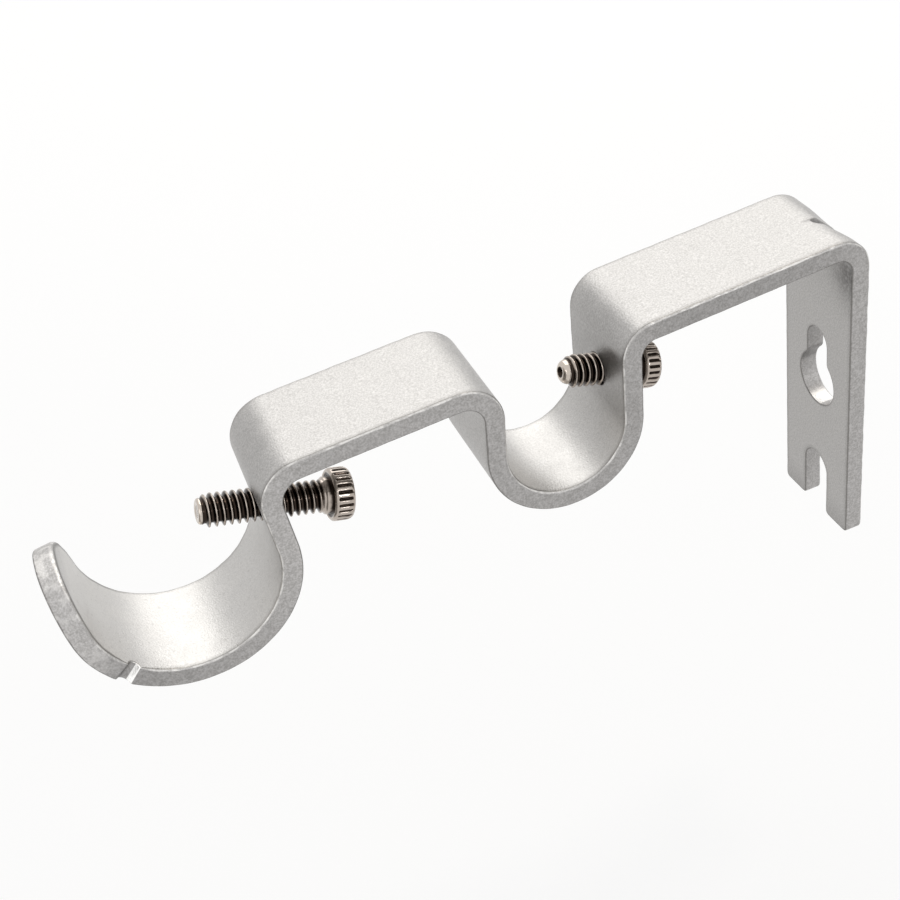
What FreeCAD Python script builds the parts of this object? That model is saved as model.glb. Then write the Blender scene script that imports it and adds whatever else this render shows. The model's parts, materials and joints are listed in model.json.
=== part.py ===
# Double curtain pole bracket: one strip of metal bent into a wall leg, two arms and two open
# cups, with a thumb screw through the neck above each cup to hold the pole.
#
# Frame: the back of the wall leg lies in the plane X = 0, +X points out into the room, +Y along
# the poles, +Z up. The origin is on the flat land between the two wall openings, halfway across.
import FreeCAD, Part
import math
import os
import Sketcher

# Driving sizes in millimetres and degrees: name, value, what it is.
SIZES = [
    ("strip_width", 17.0, "strip width, along the poles"),
    ("strip_thickness", 2.9, "strip thickness"),
    ("edge_break", 0.3, "small slope along each edge of the strip"),
    ("leg_below", 15.8, "leg from the origin down to its end"),
    ("leg_above", 32.7, "leg from the origin up to the top bend"),
    ("top_bend_radius", 2.2, "inside radius of the top bend"),
    ("rear_arm_length", 28.0, "straight part of the rear arm"),
    ("rear_arm_lean", 3.5, "fall of the rear arm"),
    ("rear_drop_radius", 2.35, "inside radius of the bend above the rear neck"),
    ("rear_neck_length", 9.1, "straight part of the rear neck"),
    ("rear_neck_lean", 3.0, "rear neck, outwards going down"),
    ("rear_cup_radius", 8.75, "inside radius of the rear cup"),
    ("rise_length", 6.1, "straight wall that rises from the rear cup"),
    ("rise_lean", 5.0, "that wall, back to the room wall going up"),
    ("rise_radius", 2.9, "inside radius of the bend on top of that wall"),
    ("front_arm_length", 22.2, "straight part of the front arm"),
    ("front_arm_lean", 3.0, "fall of the front arm"),
    ("front_drop_radius", 3.25, "inside radius of the bend above the front neck"),
    ("front_neck_length", 6.4, "straight part of the front neck"),
    ("front_neck_lean", 4.0, "front neck, back to the room wall going down"),
    ("front_cup_radius", 12.9, "inside radius of the front cup"),
    ("lip_length", 8.4, "straight lip at the end of the front cup"),
    ("lip_lean", 8.0, "lip, outwards going up"),
    ("lip_corner_radius", 8.2, "rounded end of the lip, each half"),
    ("land_height", 10.0, "flat land between the two wall openings"),
    ("keyhole_radius", 4.4, "round part of the keyhole"),
    ("keyhole_slot_width", 5.0, "narrow part of the keyhole"),
    ("keyhole_rise", 6.8, "from the round part up to the seat of the wall screw"),
    ("foot_slot_width", 5.8, "open slot at the foot"),
    ("foot_corner_radius", 1.0, "rounded corners at the foot"),
    ("foot_slot_corner", 0.6, "rounded mouth of the open slot"),
    ("dart_radius", 1.3, "round bottom of the pressed dart, outside"),
    ("dart_depth", 0.9, "depth of the dart below the top bend"),
    ("dart_shift", 0.8, "dart, off the middle towards the near edge"),
    ("dip_radius", 30.0, "wide dip in the metal on both sides of the dart"),
    ("dip_depth", 0.45, "depth of that dip"),
    ("dart_ridge", 1.1, "height of its ridge on the inside"),
    ("dart_root", 1.2, "depth of the ridge's hidden root inside the metal"),
    ("notch_radius", 0.95, "half-round notch across one edge of the front cup"),
    ("notch_angle", 43.0, "notch, below level from the cup's centre"),
    ("screw_radius", 2.33, "outside of the screw thread"),
    ("screw_clearance", 0.06, "running clearance in the neck, each side"),
    ("screw_tilt", 16.0, "rise of both screws towards the poles"),
    ("screw_tip_radius", 1.6, "plain tip of each screw"),
    ("screw_tip_slope", 0.7, "slope from the tip up to the thread"),
    ("tip_chamfer", 0.2, "sloped rim of the tip"),
    ("tip_recess_radius", 0.75, "mouth of the centre recess in the tip"),
    ("tip_recess_floor", 0.25, "floor of that recess"),
    ("tip_recess_depth", 0.5, "depth of that recess"),
    ("head_radius", 3.7, "knurled head"),
    ("head_length", 2.9, "knurled head, with its sloped rims"),
    ("head_chamfer", 0.45, "sloped rims of the knurled head"),
    ("collar_radius", 2.6, "plain collar under the knurled head"),
    ("collar_length", 0.95, "length of the collar"),
    ("collar_slope", 0.2, "sloping part of the collar"),
    ("knurl_depth", 0.3, "depth of the knurl grooves"),
    ("knurl_width", 0.55, "width of a groove at the rim"),
    ("knurl_count", 24, "grooves around the head"),
    ("front_screw_drop", 4.8, "front hole, down the neck from its bend"),
    ("front_screw_gap", 7.5, "from the middle of the neck back to the collar"),
    ("front_screw_length", 17.2, "front screw under its collar"),
    ("front_screw_tip_length", 0.3, "plain length of its tip"),
    ("rear_screw_drop", 5.9, "rear hole, down the neck from its bend"),
    ("rear_screw_gap", 3.3, "from the middle of the neck back to the collar"),
    ("rear_screw_length", 10.3, "rear screw under its collar"),
    ("rear_screw_tip_length", 0.7, "plain length of its tip"),
]

V = FreeCAD.Vector
doc = FreeCAD.newDocument("PoleBracket")
size = {name: value for name, value, meaning in SIZES}


def make_sheet():
    """Writes each driving size to a cell and gives the cell its name."""
    sheet = doc.addObject("Spreadsheet::Sheet", "Sizes")
    for row, (name, value, meaning) in enumerate(SIZES, start=1):
        sheet.set("A%d" % row, name)
        sheet.set("B%d" % row, str(value))
        sheet.set("C%d" % row, meaning)
        sheet.setAlias("B%d" % row, name)
    doc.recompute()
    return sheet


def origin_part(body, role):
    """The plane or axis with this role in the body's own origin."""
    return [part for part in body.Origin.OriginFeatures if part.Role == role][0]


def add_sketch(body, name, role):
    """An empty sketch on one of the body's origin planes."""
    sketch = body.newObject("Sketcher::SketchObject", name)
    sketch.AttachmentSupport = [(origin_part(body, role), "")]
    sketch.MapMode = "FlatFace"
    return sketch


def bind(sketch, constraint, name, expression):
    """Adds a named dimension whose value follows an expression."""
    index = sketch.addConstraint(constraint)
    sketch.renameConstraint(index, name)
    sketch.setExpression("Constraints." + name, expression)
    return index


def measure(sketch, constraint, name):
    """Adds a named dimension that only reports a distance."""
    index = sketch.addConstraint(constraint)
    sketch.setDriving(index, False)
    sketch.renameConstraint(index, name)


def add_loop(sketch, points):
    """Closed outline of straight lines through the points, joined end to end."""
    lines = []
    for start, end in zip(points, points[1:] + points[:1]):
        lines.append(sketch.addGeometry(Part.LineSegment(start, end)))
    for first, second in zip(lines, lines[1:] + lines[:1]):
        sketch.addConstraint(Sketcher.Constraint("Coincident", first, 2, second, 1))
    return lines


# The strip's centre line runs from the foot of the leg to the lip of the front cup: seven
# straight runs with a bend or cup between each two. Each run has a rule for its length and one
# for its heading, in degrees from +X towards +Z. The leg stands upright, flat on the wall.
HALF = size["strip_thickness"] / 2
RUNS = [
    ("leg", "Sizes.leg_below + Sizes.leg_above", "90"),
    ("rear_arm", "Sizes.rear_arm_length", "-Sizes.rear_arm_lean"),
    ("rear_neck", "Sizes.rear_neck_length", "-90 + Sizes.rear_neck_lean"),
    ("rise", "Sizes.rise_length", "90 + Sizes.rise_lean"),
    ("front_arm", "Sizes.front_arm_length", "-Sizes.front_arm_lean"),
    ("front_neck", "Sizes.front_neck_length", "-90 - Sizes.front_neck_lean"),
    ("lip", "Sizes.lip_length", "90 - Sizes.lip_lean"),
]
BENDS = ["top_bend_radius", "rear_drop_radius", "rear_cup_radius", "rise_radius", "front_drop_radius",
         "front_cup_radius"]


def value_of(rule):
    """Number that a rule of the named sizes comes to."""
    return float(doc.getObject("Sizes").evalExpression(rule))


def unit(degrees):
    """Unit vector in the sketch plane at an angle from its first axis."""
    return V(math.cos(math.radians(degrees)), math.sin(math.radians(degrees)), 0)


def draw_centre_line(body):
    """The strip's path as lines and tangent arcs, tied to the sizes."""
    path = add_sketch(body, "CentreLine", "XZ_Plane")
    heading = {run: value_of(rule) for run, _, rule in RUNS}
    point = V(HALF, -size["leg_below"], 0)
    lines = {}
    arcs = {}
    for step, (run, length_rule, _) in enumerate(RUNS):
        end = point + unit(heading[run]) * value_of(length_rule)
        lines[run] = path.addGeometry(Part.LineSegment(point, end))
        point = end
        if step == len(BENDS):
            break
        bend = BENDS[step]
        turn = heading[RUNS[step + 1][0]] - heading[run]
        left = math.copysign(1.0, turn)
        radius = size[bend] + HALF
        centre = point + unit(heading[run] + 90 * left) * radius
        start_angle = heading[run] - 90 * left
        angles = sorted((start_angle, start_angle + turn))
        circle = Part.Circle(centre, V(0, 0, 1), radius)
        arcs[bend] = path.addGeometry(Part.ArcOfCircle(circle, *map(math.radians, angles)))
        point = centre + unit(start_angle + turn) * radius
    first = lines["leg"]
    half_rule = "Sizes.strip_thickness / 2"
    bind(path, Sketcher.Constraint("DistanceX", -1, 1, first, 1, HALF), "foot_x", half_rule)
    below = size["leg_below"]
    bind(path, Sketcher.Constraint("DistanceY", first, 1, -1, 1, below), "foot_z", "Sizes.leg_below")
    for run, length_rule, heading_rule in RUNS:
        length = value_of(length_rule)
        bind(path, Sketcher.Constraint("Distance", lines[run], length), run + "_run", length_rule)
        angle = math.radians(heading[run])
        bind(path, Sketcher.Constraint("Angle", lines[run], angle), run + "_heading", heading_rule)
    for step, bend in enumerate(BENDS):
        before = RUNS[step][0]
        after = RUNS[step + 1][0]
        turns_left = heading[after] > heading[before]
        entry, leave = (1, 2) if turns_left else (2, 1)
        path.addConstraint(Sketcher.Constraint("Tangent", lines[before], 2, arcs[bend], entry))
        path.addConstraint(Sketcher.Constraint("Tangent", arcs[bend], leave, lines[after], 1))
        rule = "Sizes.%s + Sizes.strip_thickness / 2" % bend
        bind(path, Sketcher.Constraint("Radius", arcs[bend], size[bend] + HALF), bend, rule)
    # As measures: where the screws pass the necks, the centres of both cups, and the lip's end.
    for side in ("rear", "front"):
        neck = side + "_neck"
        line = path.Geometry[lines[neck]]
        drop = size[side + "_screw_drop"]
        hole = path.addGeometry(Part.Point(line.StartPoint + unit(heading[neck]) * drop), True)
        path.addConstraint(Sketcher.Constraint("PointOnObject", hole, 1, lines[neck]))
        rule = "Sizes.%s_screw_drop" % side
        bind(path, Sketcher.Constraint("Distance", lines[neck], 1, hole, 1, drop), side + "_hole_drop", rule)
        measure(path, Sketcher.Constraint("DistanceX", -1, 1, hole, 1, 1.0), side + "_hole_x")
        measure(path, Sketcher.Constraint("DistanceY", -1, 1, hole, 1, 1.0), side + "_hole_z")
        cup = arcs[side + "_cup_radius"]
        measure(path, Sketcher.Constraint("DistanceX", -1, 1, cup, 3, 1.0), side + "_cup_x")
        measure(path, Sketcher.Constraint("DistanceY", -1, 1, cup, 3, 1.0), side + "_cup_z")
    measure(path, Sketcher.Constraint("DistanceX", -1, 1, lines["lip"], 2, 1.0), "lip_end_x")
    measure(path, Sketcher.Constraint("DistanceY", -1, 1, lines["lip"], 2, 1.0), "lip_end_z")
    return path


def draw_section(body):
    """The strip's cross-section at the foot: a rectangle with a small slope at each corner."""
    section = add_sketch(body, "Section", "XY_Plane")
    section.setExpression("AttachmentOffset.Base.z", "-Sizes.leg_below")
    slope = size["edge_break"]
    thickness = size["strip_thickness"]
    side = size["strip_width"] / 2
    points = [
        V(slope, -side, 0),
        V(thickness - slope, -side, 0),
        V(thickness, slope - side, 0),
        V(thickness, side - slope, 0),
        V(thickness - slope, side, 0),
        V(slope, side, 0),
        V(0, side - slope, 0),
        V(0, slope - side, 0),
    ]
    lines = add_loop(section, points)
    far, room, near, wall = lines[0::2]
    for line in (far, near):
        section.addConstraint(Sketcher.Constraint("Horizontal", line))
    for line in (room, wall):
        section.addConstraint(Sketcher.Constraint("Vertical", line))
    # Each slope is as deep as it is wide. The ends are in the order in which x and y grow.
    growth = [((1, 2), (1, 2)), ((2, 1), (1, 2)), ((2, 1), (2, 1)), ((1, 2), (2, 1))]
    for index, (line, (along_x, along_y)) in enumerate(zip(lines[1::2], growth)):
        low, high = along_x
        constraint = Sketcher.Constraint("DistanceX", line, low, line, high, slope)
        bind(section, constraint, "slope_x_%d" % index, "Sizes.edge_break")
        low, high = along_y
        constraint = Sketcher.Constraint("DistanceY", line, low, line, high, slope)
        bind(section, constraint, "slope_y_%d" % index, "Sizes.edge_break")
    thick_rule = "Sizes.strip_thickness"
    side_rule = "Sizes.strip_width / 2"
    section.addConstraint(Sketcher.Constraint("PointOnObject", wall, 1, -2))
    bind(section, Sketcher.Constraint("DistanceX", -1, 1, room, 1, thickness), "thickness", thick_rule)
    bind(section, Sketcher.Constraint("DistanceY", -1, 1, near, 1, side), "near_side", side_rule)
    bind(section, Sketcher.Constraint("DistanceY", far, 1, -1, 1, side), "far_side", side_rule)
    return section


# Lengths of the through cuts, half to each side of the sketch: long enough to leave the metal
# that they cross, short enough to miss the next part of the strip.
THROUGH_WALL = "4 * Sizes.strip_thickness"
THROUGH_EDGE = "2 * Sizes.strip_thickness"
THROUGH_BEND = "8 * Sizes.strip_thickness"
THROUGH_HEAD = "4 * Sizes.head_length"


def add_pocket(body, name, sketch, length_rule):
    """A cut that runs the same way to both sides of its sketch."""
    pocket = body.newObject("PartDesign::Pocket", name)
    pocket.Profile = sketch
    pocket.SideType = "Symmetric"
    pocket.setExpression("Length", length_rule)
    sketch.Visibility = False
    return pocket


def tilt_sketch(sketch, x_rule, z_rule, axis, angle_rule):
    """Moves a sketch on the YZ plane to a point of the middle plane and turns it about Y."""
    sketch.AttachmentOffset = FreeCAD.Placement(V(0, 0, 0), FreeCAD.Rotation(axis, 10))
    sketch.setExpression("AttachmentOffset.Base.y", z_rule)
    sketch.setExpression("AttachmentOffset.Base.z", x_rule)
    sketch.setExpression("AttachmentOffset.Rotation.Angle", angle_rule)


def cut_keyhole(body):
    """Round hole for the head of the wall screw, with a narrow slot above that it drops into."""
    sketch = add_sketch(body, "KeyholeSketch", "YZ_Plane")
    radius = size["keyhole_radius"]
    half_slot = size["keyhole_slot_width"] / 2
    middle = size["land_height"] / 2 + radius
    seat = middle + size["keyhole_rise"]
    shoulder = middle + math.sqrt(radius ** 2 - half_slot ** 2)
    side_angle = math.atan2(shoulder - middle, half_slot)
    round_circle = Part.Circle(V(0, middle, 0), V(0, 0, 1), radius)
    seat_circle = Part.Circle(V(0, seat, 0), V(0, 0, 1), half_slot)
    round_start = math.pi - side_angle
    round_end = 2 * math.pi + side_angle
    round_arc = sketch.addGeometry(Part.ArcOfCircle(round_circle, round_start, round_end))
    seat_arc = sketch.addGeometry(Part.ArcOfCircle(seat_circle, 0, math.pi))
    right = sketch.addGeometry(Part.LineSegment(V(half_slot, shoulder, 0), V(half_slot, seat, 0)))
    left = sketch.addGeometry(Part.LineSegment(V(-half_slot, seat, 0), V(-half_slot, shoulder, 0)))
    sketch.addConstraint(Sketcher.Constraint("Coincident", round_arc, 2, right, 1))
    sketch.addConstraint(Sketcher.Constraint("Coincident", left, 2, round_arc, 1))
    sketch.addConstraint(Sketcher.Constraint("Tangent", right, 2, seat_arc, 1))
    sketch.addConstraint(Sketcher.Constraint("Tangent", seat_arc, 2, left, 1))
    sketch.addConstraint(Sketcher.Constraint("Vertical", right))
    sketch.addConstraint(Sketcher.Constraint("Vertical", left))
    sketch.addConstraint(Sketcher.Constraint("PointOnObject", round_arc, 3, -2))
    sketch.addConstraint(Sketcher.Constraint("PointOnObject", seat_arc, 3, -2))
    bind(sketch, Sketcher.Constraint("Radius", round_arc, radius), "round_part", "Sizes.keyhole_radius")
    slot_rule = "Sizes.keyhole_slot_width / 2"
    bind(sketch, Sketcher.Constraint("Radius", seat_arc, half_slot), "half_slot", slot_rule)
    height_rule = "Sizes.land_height / 2 + Sizes.keyhole_radius"
    bind(sketch, Sketcher.Constraint("DistanceY", -1, 1, round_arc, 3, middle), "round_height", height_rule)
    rise = size["keyhole_rise"]
    rise_rule = "Sizes.keyhole_rise"
    bind(sketch, Sketcher.Constraint("DistanceY", round_arc, 3, seat_arc, 3, rise), "rise", rise_rule)
    return add_pocket(body, "Keyhole", sketch, THROUGH_WALL)


def cut_foot_slot(body):
    """Slot that is open at the foot, with a round top and a rounded mouth."""
    sketch = add_sketch(body, "FootSlotSketch", "YZ_Plane")
    half = size["foot_slot_width"] / 2
    corner = size["foot_slot_corner"]
    top = -size["land_height"] / 2 - half
    foot = -size["leg_below"]
    past = foot - corner
    top_circle = Part.Circle(V(0, top, 0), V(0, 0, 1), half)
    right_circle = Part.Circle(V(half + corner, foot + corner, 0), V(0, 0, 1), corner)
    left_circle = Part.Circle(V(-half - corner, foot + corner, 0), V(0, 0, 1), corner)
    quarter = math.pi / 2
    top_arc = sketch.addGeometry(Part.ArcOfCircle(top_circle, 0, math.pi))
    left = sketch.addGeometry(Part.LineSegment(V(-half, top, 0), V(-half, foot + corner, 0)))
    left_arc = sketch.addGeometry(Part.ArcOfCircle(left_circle, -quarter, 0))
    left_drop = sketch.addGeometry(Part.LineSegment(V(-half - corner, foot, 0), V(-half - corner, past, 0)))
    close = sketch.addGeometry(Part.LineSegment(V(-half - corner, past, 0), V(half + corner, past, 0)))
    right_drop = sketch.addGeometry(Part.LineSegment(V(half + corner, past, 0), V(half + corner, foot, 0)))
    right_arc = sketch.addGeometry(Part.ArcOfCircle(right_circle, math.pi, math.pi + quarter))
    right = sketch.addGeometry(Part.LineSegment(V(half, foot + corner, 0), V(half, top, 0)))
    sketch.addConstraint(Sketcher.Constraint("Tangent", right, 2, top_arc, 1))
    sketch.addConstraint(Sketcher.Constraint("Tangent", top_arc, 2, left, 1))
    sketch.addConstraint(Sketcher.Constraint("Tangent", left, 2, left_arc, 2))
    sketch.addConstraint(Sketcher.Constraint("Tangent", right, 1, right_arc, 1))
    sketch.addConstraint(Sketcher.Constraint("Coincident", left_arc, 1, left_drop, 1))
    sketch.addConstraint(Sketcher.Constraint("Coincident", left_drop, 2, close, 1))
    sketch.addConstraint(Sketcher.Constraint("Coincident", close, 2, right_drop, 1))
    sketch.addConstraint(Sketcher.Constraint("Coincident", right_drop, 2, right_arc, 2))
    for line in (left, right, left_drop, right_drop):
        sketch.addConstraint(Sketcher.Constraint("Vertical", line))
    sketch.addConstraint(Sketcher.Constraint("Horizontal", close))
    sketch.addConstraint(Sketcher.Constraint("PointOnObject", top_arc, 3, -2))
    sketch.addConstraint(Sketcher.Constraint("Equal", left_arc, right_arc))
    sketch.addConstraint(Sketcher.Constraint("Vertical", left_arc, 3, left_arc, 1))
    sketch.addConstraint(Sketcher.Constraint("Vertical", right_arc, 3, right_arc, 2))
    bind(sketch, Sketcher.Constraint("Radius", top_arc, half), "half_slot", "Sizes.foot_slot_width / 2")
    bind(sketch, Sketcher.Constraint("Radius", left_arc, corner), "mouth", "Sizes.foot_slot_corner")
    top_rule = "Sizes.land_height / 2 + Sizes.foot_slot_width / 2"
    bind(sketch, Sketcher.Constraint("DistanceY", top_arc, 3, -1, 1, -top), "top_height", top_rule)
    foot_rule = "Sizes.leg_below"
    bind(sketch, Sketcher.Constraint("DistanceY", left_arc, 1, -1, 1, -foot), "foot_left", foot_rule)
    bind(sketch, Sketcher.Constraint("DistanceY", right_arc, 2, -1, 1, -foot), "foot_right", foot_rule)
    past_rule = "Sizes.leg_below + Sizes.foot_slot_corner"
    bind(sketch, Sketcher.Constraint("DistanceY", close, 1, -1, 1, -past), "past_foot", past_rule)
    return add_pocket(body, "FootSlot", sketch, THROUGH_WALL)


def place_at_foot(sketch):
    """Puts a sketch on the end of the leg, with its second axis up into the metal."""
    sketch.setExpression("AttachmentOffset.Base.y", "-Sizes.leg_below")


def place_at_lip(sketch):
    """Puts a sketch on the end of the lip, with its second axis down into the metal."""
    x_rule = "CentreLine.Constraints.lip_end_x"
    z_rule = "CentreLine.Constraints.lip_end_z"
    tilt_sketch(sketch, x_rule, z_rule, V(1, 0, 0), "180 + Sizes.lip_lean")


def round_corner(body, name, sign, radius_name, place):
    """Rounds one corner of an end of the strip; sign is the side of the middle plane."""
    sketch = add_sketch(body, name + "Sketch", "YZ_Plane")
    place(sketch)
    radius = size[radius_name]
    side = size["strip_width"] / 2
    start = 1.5 * math.pi if sign > 0 else math.pi
    circle = Part.Circle(V(sign * (side - radius), radius, 0), V(0, 0, 1), radius)
    arc = sketch.addGeometry(Part.ArcOfCircle(circle, start, start + math.pi / 2))
    low_end, side_end = (1, 2) if sign > 0 else (2, 1)
    corners = [
        V(sign * (side - radius), 0, 0),
        V(sign * (side - radius), -radius, 0),
        V(sign * (side + radius), -radius, 0),
        V(sign * (side + radius), radius, 0),
        V(sign * side, radius, 0),
    ]
    lines = [sketch.addGeometry(Part.LineSegment(a, b)) for a, b in zip(corners, corners[1:])]
    sketch.addConstraint(Sketcher.Constraint("Coincident", arc, low_end, lines[0], 1))
    for first, second in zip(lines, lines[1:]):
        sketch.addConstraint(Sketcher.Constraint("Coincident", first, 2, second, 1))
    sketch.addConstraint(Sketcher.Constraint("Coincident", lines[3], 2, arc, side_end))
    for index, line in enumerate(lines):
        sketch.addConstraint(Sketcher.Constraint("Horizontal" if index % 2 else "Vertical", line))
    sketch.addConstraint(Sketcher.Constraint("Vertical", arc, 3, arc, low_end))
    sketch.addConstraint(Sketcher.Constraint("Horizontal", arc, 3, arc, side_end))
    sketch.addConstraint(Sketcher.Constraint("PointOnObject", arc, low_end, -1))
    rule = "Sizes." + radius_name
    bind(sketch, Sketcher.Constraint("Radius", arc, radius), "corner", rule)
    ends = (-1, 1, arc, side_end) if sign > 0 else (arc, side_end, -1, 1)
    bind(sketch, Sketcher.Constraint("DistanceX", *ends, side), "side", "Sizes.strip_width / 2")
    bind(sketch, Sketcher.Constraint("DistanceY", lines[1], 1, -1, 1, radius), "past_end", rule)
    ends = (-1, 1, lines[2], 1) if sign > 0 else (lines[2], 1, -1, 1)
    outside_rule = "Sizes.strip_width / 2 + " + rule
    bind(sketch, Sketcher.Constraint("DistanceX", *ends, side + radius), "past_side", outside_rule)
    return add_pocket(body, name, sketch, THROUGH_WALL)


# The dart is pressed into the top bend along the line that halves the bend, so both of its
# sketches stand square to that line, at the centre of the bend.
BEND_X = "Sizes.strip_thickness + Sizes.top_bend_radius"
DART_ANGLE = "45 - Sizes.rear_arm_lean / 2"


def add_dart_ridge(body):
    """Rounded ridge that the dart raises inside the top bend."""
    sketch = add_sketch(body, "DartRidgeSketch", "YZ_Plane")
    tilt_sketch(sketch, BEND_X, "Sizes.leg_above", V(-1, 0, 0), DART_ANGLE)
    radius = size["dart_radius"] + size["strip_thickness"]
    middle = size["top_bend_radius"] - size["dart_ridge"] + radius
    chord = size["top_bend_radius"] + size["dart_root"]
    half = math.sqrt(radius ** 2 - (middle - chord) ** 2)
    start = math.atan2(chord - middle, -half)
    end = math.atan2(chord - middle, half)
    shift = size["dart_shift"]
    circle = Part.Circle(V(shift, middle, 0), V(0, 0, 1), radius)
    arc = sketch.addGeometry(Part.ArcOfCircle(circle, start, end))
    line = sketch.addGeometry(Part.LineSegment(V(shift + half, chord, 0), V(shift - half, chord, 0)))
    sketch.addConstraint(Sketcher.Constraint("Coincident", arc, 2, line, 1))
    sketch.addConstraint(Sketcher.Constraint("Coincident", line, 2, arc, 1))
    sketch.addConstraint(Sketcher.Constraint("Horizontal", line))
    bind(sketch, Sketcher.Constraint("DistanceX", -1, 1, arc, 3, shift), "shift", "Sizes.dart_shift")
    radius_rule = "Sizes.dart_radius + Sizes.strip_thickness"
    bind(sketch, Sketcher.Constraint("Radius", arc, radius), "ridge_radius", radius_rule)
    middle_rule = "Sizes.top_bend_radius - Sizes.dart_ridge + Sizes.dart_radius + Sizes.strip_thickness"
    bind(sketch, Sketcher.Constraint("DistanceY", -1, 1, arc, 3, middle), "ridge_centre", middle_rule)
    chord_rule = "Sizes.top_bend_radius + Sizes.dart_root"
    bind(sketch, Sketcher.Constraint("DistanceY", -1, 1, line, 1, chord), "buried_side", chord_rule)
    ridge = body.newObject("PartDesign::Pad", "DartRidge")
    ridge.Profile = sketch
    ridge.SideType = "Symmetric"
    # Both ends stop inside the metal: past the line where the ridge enters the leg, short of
    # the line where its buried side would come out of the back.
    enter = "(Sizes.top_bend_radius - (Sizes.top_bend_radius - Sizes.dart_ridge) * sin(%s))" % DART_ANGLE
    leave = "(Sizes.strip_thickness + Sizes.top_bend_radius - (Sizes.top_bend_radius + " \
            "Sizes.dart_root) * sin(%s))" % DART_ANGLE
    ridge.setExpression("Length", "(%s + %s) / cos(%s)" % (enter, leave, DART_ANGLE))
    return ridge


def cut_dart_groove(body, name, radius_name, depth_name):
    """Round-bottomed groove outside the top bend, over the dart's ridge."""
    sketch = add_sketch(body, name + "Sketch", "YZ_Plane")
    tilt_sketch(sketch, BEND_X, "Sizes.leg_above", V(-1, 0, 0), DART_ANGLE)
    radius = size[radius_name]
    shift = size["dart_shift"]
    middle = size["top_bend_radius"] + size["strip_thickness"] - size[depth_name] + radius
    circle = sketch.addGeometry(Part.Circle(V(shift, middle, 0), V(0, 0, 1), radius))
    bind(sketch, Sketcher.Constraint("Radius", circle, radius), "groove", "Sizes." + radius_name)
    bind(sketch, Sketcher.Constraint("DistanceX", -1, 1, circle, 3, shift), "shift", "Sizes.dart_shift")
    rule = "Sizes.top_bend_radius + Sizes.strip_thickness - Sizes.%s + Sizes.%s" % (depth_name, radius_name)
    bind(sketch, Sketcher.Constraint("DistanceY", -1, 1, circle, 3, middle), "groove_centre", rule)
    return add_pocket(body, name, sketch, THROUGH_BEND)


def cut_notch(body):
    """Half-round notch across the near edge of the front cup, square to the cup's wall."""
    sketch = add_sketch(body, "NotchSketch", "YZ_Plane")
    reach = "(Sizes.front_cup_radius + Sizes.strip_thickness / 2) * 1 mm"
    x_rule = "CentreLine.Constraints.front_cup_x + %s * cos(Sizes.notch_angle)" % reach
    z_rule = "CentreLine.Constraints.front_cup_z - %s * sin(Sizes.notch_angle)" % reach
    tilt_sketch(sketch, x_rule, z_rule, V(1, 0, 0), "Sizes.notch_angle")
    radius = size["notch_radius"]
    side = size["strip_width"] / 2
    circle = sketch.addGeometry(Part.Circle(V(side, 0, 0), V(0, 0, 1), radius))
    sketch.addConstraint(Sketcher.Constraint("PointOnObject", circle, 3, -1))
    bind(sketch, Sketcher.Constraint("Radius", circle, radius), "notch", "Sizes.notch_radius")
    bind(sketch, Sketcher.Constraint("DistanceX", -1, 1, circle, 3, side), "side", "Sizes.strip_width / 2")
    return add_pocket(body, "Notch", sketch, THROUGH_EDGE)


def cut_screw_hole(body, side):
    """Hole through one neck for its thumb screw, along the screw's own line."""
    sketch = add_sketch(body, side.capitalize() + "HoleSketch", "YZ_Plane")
    x_rule = "CentreLine.Constraints.%s_hole_x" % side
    z_rule = "CentreLine.Constraints.%s_hole_z" % side
    tilt_sketch(sketch, x_rule, z_rule, V(-1, 0, 0), "Sizes.screw_tilt")
    radius = size["screw_radius"] + size["screw_clearance"]
    circle = sketch.addGeometry(Part.Circle(V(0, 0, 0), V(0, 0, 1), radius))
    sketch.addConstraint(Sketcher.Constraint("Coincident", circle, 3, -1, 1))
    rule = "Sizes.screw_radius + Sizes.screw_clearance"
    bind(sketch, Sketcher.Constraint("Radius", circle, radius), "hole", rule)
    return add_pocket(body, side.capitalize() + "Hole", sketch, THROUGH_WALL)


def make_bracket():
    """The bent strip with its wall openings, dart, notch and screw holes."""
    body = doc.addObject("PartDesign::Body", "Bracket")
    body.Label = "bracket"
    path = draw_centre_line(body)
    section = draw_section(body)
    doc.recompute()
    strip = body.newObject("PartDesign::AdditivePipe", "Strip")
    strip.Profile = section
    strip.Spine = (path, [])
    strip.Mode = "Binormal"
    strip.Binormal = V(0, 1, 0)
    doc.recompute()
    steps = [add_dart_ridge(body), cut_dart_groove(body, "DartDip", "dip_radius", "dip_depth")]
    steps += [cut_dart_groove(body, "Dart", "dart_radius", "dart_depth")]
    steps += [cut_keyhole(body), cut_foot_slot(body)]
    for name, sign in (("Far", -1), ("Near", 1)):
        steps += [round_corner(body, name + "FootCorner", sign, "foot_corner_radius", place_at_foot)]
        steps += [round_corner(body, name + "LipCorner", sign, "lip_corner_radius", place_at_lip)]
    steps += [cut_notch(body), cut_screw_hole(body, "rear"), cut_screw_hole(body, "front")]
    body.Tip = steps[-1]
    doc.recompute()
    return body


def total(terms):
    """Value and rule of a sum of named sizes, given as names with their signs."""
    value = 0.0
    rule = ""
    for term in terms.split():
        sign, name = term[0], term[1:]
        value += size[name] if sign == "+" else -size[name]
        rule += " %s Sizes.%s" % (sign, name)
    return value, rule


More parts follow.
